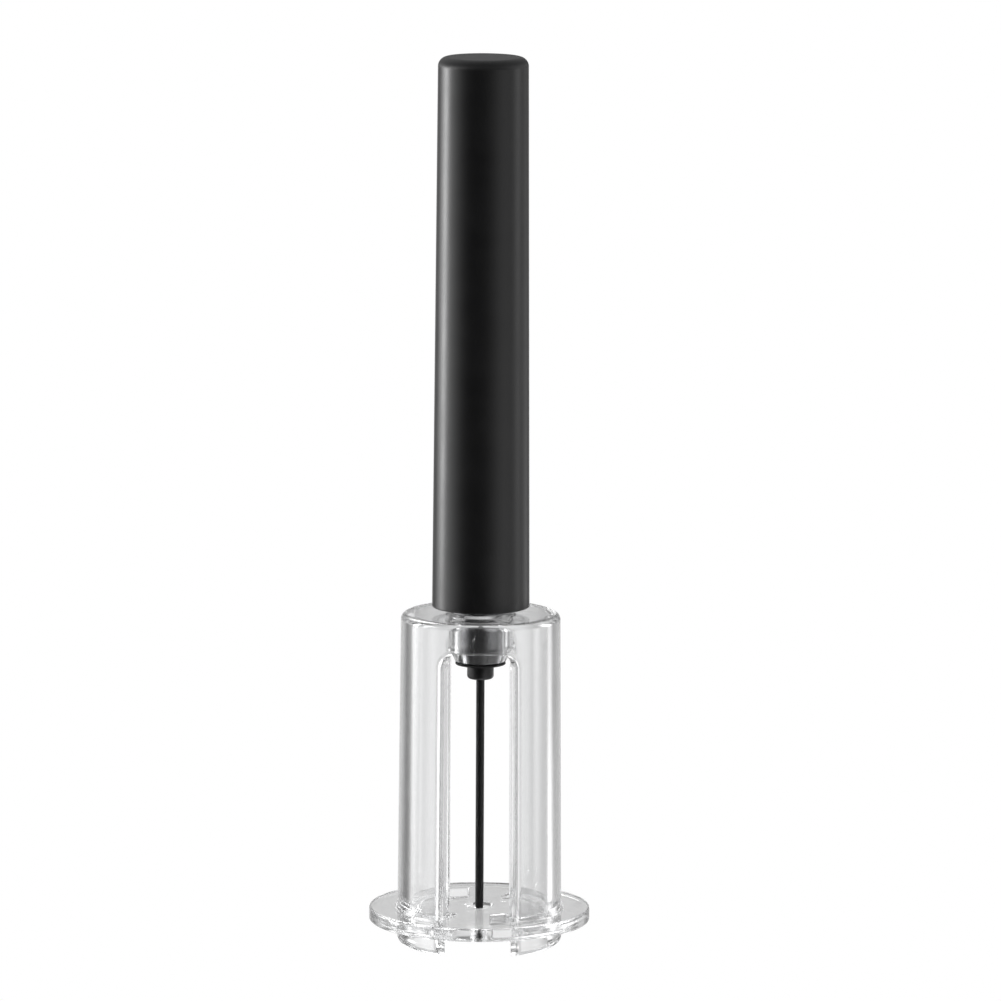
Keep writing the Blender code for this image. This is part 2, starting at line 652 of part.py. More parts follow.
def guide_bush():
    """The bush that runs on the rod at the handle's foot, with its wiper and its snap ring."""
    flange = handle_radius(BUSH_SHOULDER) - HANDLE_WALL - GAP
    spigot = BARREL_BORE_RADIUS - GAP
    wiper_inner = ROD_RADIUS + SEAL_GAP
    wiper_outer = wiper_inner + WIPER_WIDTH
    wiper_bottom = BUSH_BOTTOM + WIPER_SHOULDER
    groove_top = wiper_bottom + WIPER_HEIGHT + SEAL_GAP
    turned("guide_bush", [
        (ROD_SOCKET_RADIUS, BUSH_BOTTOM + BUSH_LENGTH),
        (spigot, BUSH_BOTTOM + BUSH_LENGTH),
        (spigot, BUSH_SHOULDER),
        (flange, BUSH_SHOULDER),
        (flange, BUSH_BOTTOM),
        (ROD_SOCKET_RADIUS, BUSH_BOTTOM),
        (ROD_SOCKET_RADIUS, wiper_bottom - SEAL_GAP),
        (wiper_outer + SEAL_GAP, wiper_bottom - SEAL_GAP),
        (wiper_outer + SEAL_GAP, groove_top),
        (ROD_SOCKET_RADIUS, groove_top),
    ], white_plastic, MEDIUM, handle_joint)
    ring("rod_wiper", wiper_inner, wiper_outer, wiper_bottom, wiper_bottom + WIPER_HEIGHT,
         rubber, SMALL, handle_joint)
    clip = ring("bush_snap_ring", CLIP_INNER_RADIUS, CLIP_OUTER_RADIUS, CLIP_TOP - CLIP_HEIGHT,
                CLIP_TOP, steel, SMALL, handle_joint)
    combine(clip, box("snap_ring_opening", (0, -CLIP_OPENING / 2, CLIP_TOP - 3 * CLIP_HEIGHT),
                      (2 * CLIP_OUTER_RADIUS, CLIP_OPENING / 2, CLIP_TOP + CLIP_HEIGHT)), "DIFFERENCE")


clear_scene()
parts = new_collection(COLLECTION)
guides = new_collection("guides")

clear = new_material("clear_polycarbonate", (0.95, 0.96, 0.97), 0.03, transmission=1.0)
black_plastic = new_material("black_plastic", (0.02, 0.02, 0.022), 0.4)
black_coating = new_material("black_coating", (0.015, 0.015, 0.016), 0.3)
white_plastic = new_material("white_plastic", (0.8, 0.8, 0.78), 0.45)
rubber = new_material("black_rubber", (0.02, 0.02, 0.02), 0.8)
steel = new_material("steel", (0.62, 0.62, 0.64), 0.22, metallic=1.0)
aluminium = new_material("aluminium", (0.72, 0.72, 0.74), 0.35, metallic=1.0)
brass = new_material("brass", (0.72, 0.55, 0.25), 0.3, metallic=1.0)

disc_joint = empty("disc_joint", DISC_HEIGHT)
handle_joint = empty("handle_joint", HANDLE_BOTTOM)
ball_joint = empty("ball_joint", BALL_CENTRE)

guide_frame()
guide_disc()
needle_and_hub()
mounting_sleeve()
check_valve()
rod_and_piston()
handle()
pump_barrel()
guide_bush()
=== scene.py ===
"""A hand-pumped wine opener as it looks: smooth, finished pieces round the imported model.

Sizes are millimetres, and become metres where a mesh is made. The opener stands upright on the feet of
its clear frame, +Z up, with the needle on the Z axis. The windows between the two legs face -Y and +Y.
"""
import math
from contextlib import contextmanager

import bmesh
import bpy
from mathutils import Matrix, Vector


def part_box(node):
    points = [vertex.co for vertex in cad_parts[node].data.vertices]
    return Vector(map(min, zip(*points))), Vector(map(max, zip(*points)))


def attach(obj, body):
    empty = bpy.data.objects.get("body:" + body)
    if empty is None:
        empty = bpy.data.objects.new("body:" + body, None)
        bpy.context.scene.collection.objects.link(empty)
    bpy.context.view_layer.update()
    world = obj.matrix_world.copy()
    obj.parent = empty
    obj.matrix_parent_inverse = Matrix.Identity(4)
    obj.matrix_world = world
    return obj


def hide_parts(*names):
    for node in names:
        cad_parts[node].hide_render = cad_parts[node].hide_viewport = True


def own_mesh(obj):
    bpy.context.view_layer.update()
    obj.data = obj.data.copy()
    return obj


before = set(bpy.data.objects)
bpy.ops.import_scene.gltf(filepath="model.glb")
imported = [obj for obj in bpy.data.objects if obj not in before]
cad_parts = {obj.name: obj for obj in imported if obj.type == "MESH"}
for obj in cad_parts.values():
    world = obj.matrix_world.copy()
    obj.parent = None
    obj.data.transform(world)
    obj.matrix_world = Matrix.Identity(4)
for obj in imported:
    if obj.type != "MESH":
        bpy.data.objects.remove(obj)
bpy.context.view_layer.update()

MM = 0.001
TURN_STEPS = 200
SMALL_TURN_STEPS = 96
FINE_TURN_STEPS = 64
HOLE_STEPS = 24
FILLET_STEPS = 8
SMOOTH_ANGLE = math.radians(32)
SHARP_ANGLE = 1.0
FLAT_ANGLE = math.radians(0.05)

# Tolerances of the mesh work, and how far a cutter reaches past what it cuts
ON_AXIS = 1e-6
MERGE = 0.001
NEAR = 0.05
UPRIGHT_NORMAL = 0.05
LEVEL_NORMAL = 0.99
CUT_PAST = 1.0
CUT_THROUGH = 2.0
CUT_FLARE = 6.0
CUT_BELOW = 5.0
CUT_BOSS_CLEARANCE = 1.5

# Fillets of small edges
SHARP_EDGE = 0.1
TURNED_EDGE = 0.12
FINE_EDGE = 0.15
CLEAN_EDGE = 0.2
SEAT_EDGE = 0.25
BROKEN_EDGE = 0.3
MOULDED_EDGE = 0.3
SOFT_EDGE = 0.4
MOULDED_STEPS = 4
TURNED_STEPS = 3

# Clear frame
FRAME_TAPER = 0.67
FRAME_WALL = 3.1
CEILING_THICKNESS = 1.6
SHOULDER_FILLET = 1.5
WINDOW_HALF_ANGLE = math.radians(28.4)
WINDOW_EDGE = 1.2
WINDOW_HEAD = 7.1
WINDOW_CORNER = 3.2
WINDOW_CORNER_STEPS = 20
RIB_DEPTH = 1.5
RIB_THICKNESS = 1.6
RIB_END = 3.0
RIB_HEAD = 4.1
RIB_EDGE = 0.9
RIB_FACE_EDGE = 0.6
FOOT_OUTER_FILLET = 1.6
FOOT_INNER_FILLET = 0.5
BOSS_WALL = 2.0
BOSS_END_WALL = 0.5
BOSS_LENGTH = 9.8
BOSS_CONE_LENGTH = 3.5
BOSS_CONE_FILLET = 1.0
BOSS_FILLET = 0.8
LUG_CATCH = 0.6
LUG_HEIGHT = 1.2
LUG_WIDTH = 8.0
LUG_EDGE_ANGLE = math.radians(40)
BOSS_SURROUND = 2.0
UNROLL_RADIUS = 18.0
UNROLLED_LENGTH = 2 * math.pi * UNROLL_RADIUS
SEAM_ANGLE = math.radians(39.6)

# Clear disc
DISC_FILLET = 0.5
RECESS_CLEARANCE = 0.32
RECESS_DEPTH = 0.7
SLOT_END_CLEARANCE = math.radians(1.2)
SLOT_LONG_END = 3.0
SLOT_POCKET_CLEARANCE = 3.9
SLOT_CORNER = 0.4
SLOT_CORNER_ROOM = 0.2
SLOT_CORNER_STEPS = 6
RIM_ROOM = 1.0

# Needle, hub and check valve
NEEDLE_BORE_RADIUS = 0.5
NEEDLE_TIP_LENGTH = 2.0
NEEDLE_TIP_FILLET = 3.0
VENT_RADIUS = 0.3
VENT_STRETCH = 1.4
HUB_FILLET = 0.8
HUB_LENGTH = 3.2
HUB_PASSAGE_RADIUS = 0.6
SPIGOT_RADIUS = 2.3
SPRING_POCKET_RADIUS = 1.5
SPRING_POCKET_DEPTH = 1.8
SPRING_WIRE_RADIUS = 0.18
SPRING_TURNS = 5.0
SPRING_CLOSED_TURNS = 1.0
SPRING_WIRE_SIDES = 12
COIL_POINTS = 40
THREAD_PITCH = 0.7
THREAD_DEPTH = 0.2
THREAD_END = 0.6
THREAD_SIDES = 4
SLEEVE_WALL = 0.9
GASKET_BORE_RADIUS = 2.8
SEAT_HOLE_RADIUS = 0.8
SEAT_CHAMFER = 0.5

# Pump
ROD_BORE_RADIUS = 2.4
PISTON_HEAD_THICKNESS = 3.2
PISTON_LAND = 2.7
PISTON_GROOVE_LENGTH = 3.6
CUP_BASE = 0.5
SCREW_FLANGE_THICKNESS = 1.2
SCREW_BORE_RADIUS = 0.9
SCREW_SLOT_WIDTH = 1.2
SCREW_SLOT_DEPTH = 0.7
HANDLE_TAPER = 0.89
HANDLE_WALL = 1.2
HANDLE_TOP_WALL = 1.6
HANDLE_TOP_FILLET = 2.2
HANDLE_EDGE = 0.3
BARREL_WALL = 0.7
PLUG_FLANGE_THICKNESS = 1.6
O_RING_SHOULDER = 1.1
BUSH_FLANGE_THICKNESS = 3.0
CLIP_OPENING = 4.0
CLIP_WIDTH = 1.5
CLIP_SPACING = 0.3
CLIP_EDGE = 0.08
CLIP_EDGE_STEPS = 2
EAR_RADIUS = 1.1
EAR_HOLE_RADIUS = 0.5
EAR_INSET = 0.3
EAR_END_GAP = 0.1
EAR_STEPS = 32

GAP = 0.3
SEAL_GAP = 0.2

# The handle's end turns matt between these shares of its top fillet
MATT_BEGINS = 1.1
MATT_WHOLE = 0.4

# Camera: from the front, a little above level
CAMERA_DISTANCE = 1701.0
CAMERA_PITCH = math.radians(9.18)
CAMERA_YAW = math.radians(1.25)
CAMERA_ROLL = math.radians(0.307)
CAMERA_SENSOR = 36.0
CAMERA_LENS = 261.6
AIM_SIDE = 4.49
AIM_HEIGHT = 105.32

# Studio, in metres and in shares of white
FLOOR_HALF_WIDTH = 3.0
FLOOR_BACK = 5.0
FLOOR_FRONT = 0.45
FLOOR_MATT = 0.85
FLOOR_SHADE = 0.2
FLOOR_GLOW = 0.82

# Soft lights of the studio room: turn from the camera's side, rise, tightness and brightness
ROOM_LIGHTS = (
    (204, 38, 60, 13.8), (277, 28, 60, 8.7), (121, 39, 16.7, 4.9), (242, 0, 60, 4.1),
    (134, -22, 60, 3.9), (58, -36, 10, 2.3), (99, -3, 60, 1.95), (275, -16, 11.9, 1.84),
    (182, -11, 15.4, 0.9), (0, -90, 9, 1.3), (0, 90, 6, 1.0), (205, 14, 20, 0.35))
ROOM_DIM = 0.01
ROOM_EYE = 0.06
BACKDROP_LEAST = 0.1
STRAIGHT_LEAST = 0.6


def low(node):
    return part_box(node)[0].z / MM


def high(node):
    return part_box(node)[1].z / MM


def radius_of(node):
    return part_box(node)[1].y / MM


def extent(node):
    """Radius, bottom and top of a packed round piece."""
    return radius_of(node), low(node), high(node)


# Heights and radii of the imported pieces
FRAME_HEIGHT = high("guide_frame")
FRAME_FOOT_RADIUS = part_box("guide_frame")[1].x / MM
FRAME_TOP_RADIUS = FRAME_FOOT_RADIUS - FRAME_TAPER
CEILING = FRAME_HEIGHT - CEILING_THICKNESS
WINDOW_TOP = FRAME_HEIGHT - WINDOW_HEAD
BOSS_END = CEILING - BOSS_LENGTH
LEG_HALF_ANGLE = math.pi / 2 - WINDOW_HALF_ANGLE
RIB_RADIUS = FRAME_FOOT_RADIUS - FRAME_WALL - RIB_DEPTH
RIB_TOP = WINDOW_TOP - RIB_HEAD
FLANGE_BOTTOM = FRAME_HEIGHT + GAP
SLEEVE_RADIUS = radius_of("piston_rod") + GAP + SLEEVE_WALL
BOSS_BORE_RADIUS = SLEEVE_RADIUS + GAP
BOSS_RADIUS = BOSS_BORE_RADIUS + BOSS_WALL
BOSS_END_RADIUS = BOSS_BORE_RADIUS + BOSS_END_WALL
DISC_BOTTOM, DISC_TOP = low("guide_disc"), high("guide_disc")
HUB_TOP = low("needle_hub") + HUB_LENGTH
SPRING_FLOOR = high("needle_hub") - SPRING_POCKET_DEPTH
SOCKET_FLOOR = low("rod_gasket") - GAP
HANDLE_BOTTOM, HANDLE_TOP = low("handle_shell"), high("handle_shell")
HANDLE_FOOT_RADIUS = radius_of("handle_shell")
HANDLE_TOP_RADIUS = HANDLE_FOOT_RADIUS - HANDLE_TAPER
HANDLE_CEILING = HANDLE_TOP - HANDLE_TOP_WALL
ROD_SOCKET_RADIUS = radius_of("piston_rod") + GAP
BARREL_BORE_RADIUS = radius_of("pump_barrel") - BARREL_WALL


def frame_radius(height):
    """Outer radius of the tapered frame at a height."""
    return FRAME_FOOT_RADIUS - FRAME_TAPER * height / FRAME_HEIGHT


def handle_radius(height):
    """Outer radius of the tapered handle at a height."""
    return HANDLE_FOOT_RADIUS - HANDLE_TAPER * (height - HANDLE_BOTTOM) / (HANDLE_TOP - HANDLE_BOTTOM)


SLOT_INNER_RADIUS = frame_radius(WINDOW_TOP) - FRAME_WALL - GAP


# ---------------------------------------------------------------- outlines

def fillet(before, corner, after, radius, steps=FILLET_STEPS):
    """Points of an arc that rounds a corner of an outline."""
    corner = Vector(corner)
    back = (Vector(before) - corner).normalized()
    ahead = (Vector(after) - corner).normalized()
    half = back.angle(ahead) / 2
    centre = corner + (back + ahead).normalized() * (radius / math.sin(half))
    start = corner + back * (radius / math.tan(half)) - centre
    end = corner + ahead * (radius / math.tan(half)) - centre
    turn = start.angle(end)
    points = []
    for step in range(steps + 1):
        share = step / steps
        mixed = start * math.sin((1 - share) * turn) + end * math.sin(share * turn)
        points.append(tuple(centre + mixed / math.sin(turn)))
    return points


def rounded(corners, steps=FILLET_STEPS):
    """Replaces each corner (a, b, radius) that has a radius by an arc."""
    points = []
    for index, corner in enumerate(corners):
        if len(corner) == 2:
            points.append(tuple(corner))
        else:
            points.extend(fillet(corners[index - 1][:2], corner[:2],
                                 corners[(index + 1) % len(corners)][:2], corner[2], steps))
    return points


def arc(radius, start, end, spacing=0.5):
    """Points of an arc about the centre line, in plan."""
    count = max(2, round(abs(end - start) * radius / spacing))
    angles = [start + (end - start) * step / count for step in range(count + 1)]
    return [(radius * math.cos(angle), radius * math.sin(angle)) for angle in angles]


def circle(radius, steps, centre=(0.0, 0.0)):
    return [(centre[0] + radius * math.cos(2 * math.pi * step / steps),
             centre[1] + radius * math.sin(2 * math.pi * step / steps)) for step in range(steps)]


def bead(centre, height, radius, steps, count):
    """Points down the outer side of a round section, with so many steps to a full turn."""
    turns = [2 * math.pi * step / steps for step in range(count)]
    return [(centre + radius * math.sin(turn), height + radius * math.cos(turn)) for turn in turns]


# ---------------------------------------------------------------- meshes

def object_from(name, shape):
    """A linked object from a bmesh in millimetres."""
    bmesh.ops.scale(shape, vec=(MM, MM, MM), verts=shape.verts)
    data = bpy.data.meshes.new(name)
    shape.to_mesh(data)
    shape.free()
    made = bpy.data.objects.new(name, data)
    bpy.context.scene.collection.objects.link(made)
    return made


def turned(name, corners, steps=SMALL_TURN_STEPS):
    """A turned solid. Its corners (radius, height, fillet) run down its outer side."""
    outline = rounded(corners)
    shape = bmesh.new()
    poles = {index: shape.verts.new((0, 0, height))
             for index, (radius, height) in enumerate(outline) if radius < ON_AXIS}
    columns = []
    for step in range(steps):
        angle = 2 * math.pi * step / steps
        columns.append([poles.get(index) or shape.verts.new(
            (radius * math.cos(angle), radius * math.sin(angle), height))
            for index, (radius, height) in enumerate(outline)])
    count = len(outline)
    for step in range(steps):
        here, after = columns[step - 1], columns[step]
        for index in range(count):
            follow = (index + 1) % count
            if index in poles and follow in poles:
                continue
            ring = [here[index], here[follow], after[follow], after[index]]
            shape.faces.new([vert for place, vert in enumerate(ring) if vert is not ring[place - 1]])
    return object_from(name, shape)


def layered(name, layers, place):
    """A solid through layers (level, outline) of the same corners. place(a, b, level) sets each point."""
    shape = bmesh.new()
    rings = [[shape.verts.new(place(a, b, level)) for a, b in outline] for level, outline in layers]
    count = len(rings[0])
    for lower, upper in zip(rings, rings[1:]):
        for index in range(count):
            follow = (index + 1) % count
            shape.faces.new((lower[index], lower[follow], upper[follow], upper[index]))
    shape.faces.new(rings[0][::-1])
    shape.faces.new(rings[-1])
    bmesh.ops.recalc_face_normals(shape, faces=shape.faces)
    return object_from(name, shape)


def upright(x, y, height):
    return x, y, height


def plate(name, outline, bottom, top):
    """An upright prism on a plan outline."""
    return layered(name, [(bottom, outline), (top, outline)], upright)


def block(name, first, last):
    """A box between two corners."""
    outline = [(first[0], first[1]), (last[0], first[1]), (last[0], last[1]), (first[0], last[1])]
    return plate(name, outline, first[2], last[2])


def settle(made):
    """Replaces an object's mesh by what its modifiers make of it."""
    made_mesh = bpy.data.meshes.new_from_object(
        made.evaluated_get(bpy.context.evaluated_depsgraph_get()))
    made.modifiers.clear()
    old, made.data = made.data, made_mesh
    bpy.data.meshes.remove(old)


def combine(made, operation, *others):
    """Cuts with, or joins to, solids that are then removed."""
    for other in others:
        change = made.modifiers.new(operation.lower(), "BOOLEAN")
        change.operation = operation
        change.object = other
        change.solver = "EXACT"
        settle(made)
        bpy.data.objects.remove(other, do_unlink=True)


def middle_of(edge):
    """Middle of an edge, in millimetres."""
    return (edge.verts[0].co + edge.verts[1].co) / 2 / MM


@contextmanager
def editing(made):
    """Opens a piece's mesh for changes and puts them back into it."""
    shape = bmesh.new()
    shape.from_mesh(made.data)
    yield shape
    shape.to_mesh(made.data)
    shape.free()


def round_edges(made, width, steps, chosen):
    """Rounds the edges of a mesh that chosen(edge) accepts."""
    with editing(made) as shape:
        bmesh.ops.remove_doubles(shape, verts=shape.verts, dist=MERGE * MM)
        bmesh.ops.dissolve_limit(shape, angle_limit=FLAT_ANGLE, verts=shape.verts, edges=shape.edges)
        edges = [edge for edge in shape.edges if len(edge.link_faces) == 2 and chosen(edge)]
        bmesh.ops.bevel(shape, geom=edges, offset=width * MM, segments=steps, profile=0.5,
                        affect="EDGES", offset_type="OFFSET", clamp_overlap=False)


def smooth(made):
    """Merges doubles and shades the piece smooth, with real edges kept sharp and flats kept flat."""
    with editing(made) as shape:
        bmesh.ops.remove_doubles(shape, verts=shape.verts, dist=MERGE / 2 * MM)
    made.data.shade_smooth()
    made.data.set_sharp_from_angle(angle=SMOOTH_ANGLE)
    weighted = made.modifiers.new("flats", "WEIGHTED_NORMAL")
    weighted.mode = "FACE_AREA"
    weighted.weight = 50
    weighted.keep_sharp = True
    settle(made)


def finish(made, slot, body, *nodes):
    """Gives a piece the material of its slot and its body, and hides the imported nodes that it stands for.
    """
    smooth(made)
    made.data.materials.clear()
    made.data.materials.append(finishes[slot])
    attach(made, body)
    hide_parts(*nodes)


def ring(name, node, bore, slot, body, edge, steps=SMALL_TURN_STEPS):
    """A turned ring or tube with rounded edges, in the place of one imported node."""
    outer, bottom, top = extent(node)
    made = turned(name, [(bore, top, edge), (outer, top, edge), (outer, bottom, edge), (bore, bottom, edge)],
                  steps)
    finish(made, slot, body, node)


# ---------------------------------------------------------------- node trees

def add(tree, kind, inputs=None, **settings):
    """A node with its settings. An input's value is a number, a colour or another node's output."""
    made = tree.nodes.new(kind)
    for label, value in settings.items():
        setattr(made, label, value)
    for place, value in (inputs or {}).items():
        if isinstance(value, bpy.types.NodeSocket):
            link(value, made.inputs[place])
        else:
            made.inputs[place].default_value = value
    return made


def link(source, socket):
    """Feeds an output into an input of the same tree."""
    source.id_data.links.new(source, socket)


def calculate(operation, first, second=0.0):
    """A sum in the node tree that its operands belong to."""
    tree = (first if isinstance(first, bpy.types.NodeSocket) else second).id_data
    return add(tree, "ShaderNodeMath", {0: first, 1: second}, operation=operation).outputs[0]


def new_group(name, inputs, outputs):
    """A shader node group with named inputs (label, default) and outputs."""
    tree = bpy.data.node_groups.new(name, "ShaderNodeTree")
    for label, value in inputs:
        kind = "NodeSocketVector" if value is None else "NodeSocketFloat"
        socket = tree.interface.new_socket(label, in_out="INPUT", socket_type=kind)
        if value is not None:
            socket.default_value = value
    for label in outputs:
        tree.interface.new_socket(label, in_out="OUTPUT", socket_type="NodeSocketFloat")
    return tree, tree.nodes.new("NodeGroupInput").outputs


# ---------------------------------------------------------------- clear frame

def lengthwise(radius, height, along):
    return along, radius, height


def outward(along, height, radius):
    return along, radius, height


def unroll(angle):
    """Place of an angle along the unrolled frame."""
    return ((angle - SEAM_ANGLE) % (2 * math.pi)) * UNROLL_RADIUS


def frame_profile():
    """Section of the frame from its axis outwards, with the closed top, the boss and one leg."""
    return rounded([
        (BOSS_BORE_RADIUS, FRAME_HEIGHT, TURNED_EDGE),
        (FRAME_TOP_RADIUS, FRAME_HEIGHT, SHOULDER_FILLET),
        (FRAME_FOOT_RADIUS, 0, FOOT_OUTER_FILLET),
        (FRAME_FOOT_RADIUS - FRAME_WALL, 0, FOOT_INNER_FILLET),
        (frame_radius(CEILING) - FRAME_WALL, CEILING),
        (BOSS_RADIUS, CEILING, BOSS_FILLET),
        (BOSS_RADIUS, BOSS_END + BOSS_CONE_LENGTH, BOSS_CONE_FILLET),
        (BOSS_END_RADIUS, BOSS_END, FINE_EDGE),
        (BOSS_BORE_RADIUS, BOSS_END, FINE_EDGE),
    ])


def leaning(along, height, radius):
    """Sets a point of a window's shape. Outside the ribs the shape leans in with the wall's taper."""
    lean = FRAME_TAPER * height / FRAME_HEIGHT if radius > RIB_RADIUS + RIB_DEPTH / 2 else 0
    return outward(along, height, radius - lean)


def window_outline(middle, spread, foot, top, corner):
    """Outline of a window in the unrolled wall, spread beyond its edge."""
    half = WINDOW_HALF_ANGLE * UNROLL_RADIUS + spread
    return rounded([(middle - half, foot), (middle + half, foot),
                    (middle + half, top + spread, corner + spread),
                    (middle - half, top + spread, corner + spread)], WINDOW_CORNER_STEPS)


def quarter_round(radius, first=8, steps=9):
    """Pairs (depth, spread) of a quarter round into the wall. It starts at a turn given in degrees."""
    turns = [math.radians(first + (90 - first) * step / steps) for step in range(steps + 1)]
    return [(radius * (1 - math.cos(turn)), radius * (1 - math.sin(turn))) for turn in turns]


def window_cutter(middle):
    """The solid that cuts a window and leaves the wall and its ribs with rounded edges."""
    levels = [(FRAME_FOOT_RADIUS + CUT_PAST, WINDOW_EDGE + CUT_FLARE)]
    levels += [(FRAME_FOOT_RADIUS - depth, spread) for depth, spread in quarter_round(WINDOW_EDGE)]
    levels += [(RIB_RADIUS + depth, spread) for depth, spread in reversed(quarter_round(RIB_EDGE))]
    levels += [(RIB_RADIUS - CUT_PAST, RIB_EDGE + CUT_FLARE),
               (BOSS_RADIUS + CUT_BOSS_CLEARANCE, RIB_EDGE + CUT_FLARE)]
    return layered("window", [(level, window_outline(middle, spread, -CUT_BELOW, WINDOW_TOP, WINDOW_CORNER))
                              for level, spread in levels], leaning)


def rib_block(middle):
    """A block whose sides are the ribs on both sides of a window. The window is cut out of it later."""
    levels = [(RIB_RADIUS + depth, RIB_THICKNESS - spread)
              for depth, spread in quarter_round(RIB_FACE_EDGE, 0)]
    levels.append((FRAME_FOOT_RADIUS - FRAME_WALL / 2, RIB_THICKNESS))
    return layered("ribs", [(level, window_outline(middle, spread, RIB_END, RIB_TOP, MOULDED_EDGE))
                            for level, spread in levels], outward)


def unrolled_frame():
    """The frame before it is wrapped round its axis, where its walls and ribs are flat."""
    profile = frame_profile()
    made = layered("clear_frame", [(0, profile), (UNROLLED_LENGTH, profile)], lengthwise)
    windows = [unroll(angle) for angle in (math.pi / 2, -math.pi / 2)]
    combine(made, "UNION", *[rib_block(middle) for middle in windows])
    combine(made, "DIFFERENCE", *[window_cutter(middle) for middle in windows])
    lug_radius = SLOT_INNER_RADIUS - LUG_CATCH
    lug_half = LUG_WIDTH / 2 * UNROLL_RADIUS / (lug_radius + LUG_CATCH)
    lug_top = DISC_BOTTOM - GAP
    for leg in (0, math.pi):
        middle = unroll(leg)
        combine(made, "UNION", block("lug", (middle - lug_half, lug_radius, lug_top - LUG_HEIGHT),
                                     (middle + lug_half, FRAME_FOOT_RADIUS - FRAME_WALL / 2, lug_top)))
    return made


def lug_edge(edge):
    """Says whether an edge of the unrolled frame is an outer edge of a lug."""
    middle = middle_of(edge)
    lug_bottom = DISC_BOTTOM - GAP - LUG_HEIGHT
    return (BOSS_RADIUS + BOSS_SURROUND < middle.y < FRAME_FOOT_RADIUS - FRAME_WALL + 2 * NEAR
            and lug_bottom - NEAR < middle.z < DISC_BOTTOM
            and edge.is_convex and edge.calc_face_angle(0) > LUG_EDGE_ANGLE)


def wrap(made):
    """Divides the unrolled frame into narrow strips and wraps it round the axis."""
    with editing(made) as shape:
        ends = [face for face in shape.faces
                if all(vert.co.x < MERGE * MM for vert in face.verts)
                or all(vert.co.x > (UNROLLED_LENGTH - MERGE) * MM for vert in face.verts)]
        bmesh.ops.delete(shape, geom=ends, context="FACES_ONLY")
        for step in range(1, TURN_STEPS):
            place = UNROLLED_LENGTH * step / TURN_STEPS * MM
            bmesh.ops.bisect_plane(shape, geom=list(shape.verts) + list(shape.edges) + list(shape.faces),
                                   dist=4 * MERGE * MM, plane_co=(place, 0, 0), plane_no=(1, 0, 0))
        for vert in shape.verts:
            angle = vert.co.x / (UNROLL_RADIUS * MM) + SEAM_ANGLE
            vert.co = (vert.co.y * math.cos(angle), vert.co.y * math.sin(angle), vert.co.z)
        bmesh.ops.remove_doubles(shape, verts=shape.verts, dist=2 * MERGE * MM)
        bmesh.ops.recalc_face_normals(shape, faces=shape.faces)


def clear_frame():
    made = unrolled_frame()
    round_edges(made, MOULDED_EDGE, MOULDED_STEPS, lug_edge)
    wrap(made)
    finish(made, "clear_plastic", "base", "guide_frame")


# ---------------------------------------------------------------- clear disc

def slot_outline():
    """Plan of the slot round one leg, narrow at the leg's wall and deep at its ribs."""
    outer = frame_radius(DISC_BOTTOM) + GAP
    pocket = RIB_RADIUS - SLOT_POCKET_CLEARANCE
    rib_end = LEG_HALF_ANGLE - (RIB_THICKNESS + GAP) / (RIB_RADIUS - GAP)
    short_end = LEG_HALF_ANGLE + SLOT_END_CLEARANCE
    outer_end = math.asin(SLOT_LONG_END / outer) - math.pi / 2
    pocket_end = math.asin(SLOT_LONG_END / pocket) - math.pi / 2
    outline = []
    for radius, start, end in ((outer, outer_end, short_end), (pocket, short_end, rib_end),
                               (SLOT_INNER_RADIUS, rib_end, -rib_end), (pocket, -rib_end, pocket_end)):
        turn = math.copysign((SLOT_CORNER + SLOT_CORNER_ROOM) / radius, end - start)
        outline.append((radius * math.cos(start), radius * math.sin(start), SLOT_CORNER))
        outline.extend(arc(radius, start + turn, end - turn))
        outline.append((radius * math.cos(end), radius * math.sin(end), SLOT_CORNER))
    return rounded(outline, SLOT_CORNER_STEPS)


def clear_disc():
    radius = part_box("guide_disc")[1].x / MM
    hole = radius_of("needle") + GAP
    recess = radius_of("needle_hub") + RECESS_CLEARANCE
    under, over = DISC_BOTTOM - CUT_THROUGH, DISC_TOP + CUT_THROUGH
    section = rounded([(0, DISC_BOTTOM), (radius, DISC_BOTTOM, DISC_FILLET),
                       (radius, DISC_TOP, DISC_FILLET), (0, DISC_TOP)])[1:-1]
    made = layered("clear_disc", [(height, circle(reach, TURN_STEPS)) for reach, height in section], upright)
    for turn in (0, math.pi):
        slot = plate("slot", slot_outline(), under, over)
        slot.data.transform(Matrix.Rotation(turn, 4, "Z"))
        combine(made, "DIFFERENCE", slot)
    combine(made, "DIFFERENCE",
            plate("needle_hole", circle(hole, FINE_TURN_STEPS), under, over),
            plate("recess", circle(recess, SMALL_TURN_STEPS), DISC_TOP - RECESS_DEPTH, over))

    def slot_edge(edge):
        """An edge between a level face and an upright one, between the recess and the rim."""
        steep = sorted(abs(face.normal.z) for face in edge.link_faces)
        return (steep[0] < UPRIGHT_NORMAL and steep[1] > LEVEL_NORMAL
                and recess + RIM_ROOM < middle_of(edge).xy.length < radius - RIM_ROOM)

    def recess_edge(edge):
        return edge.calc_face_angle(0) > SHARP_ANGLE and middle_of(edge).xy.length < recess + RIM_ROOM / 2

    round_edges(made, MOULDED_EDGE, MOULDED_STEPS, slot_edge)
    round_edges(made, TURNED_EDGE, TURNED_STEPS, recess_edge)
    finish(made, "clear_plastic", "disc", "guide_disc")


# ---------------------------------------------------------------- needle, hub and check valve

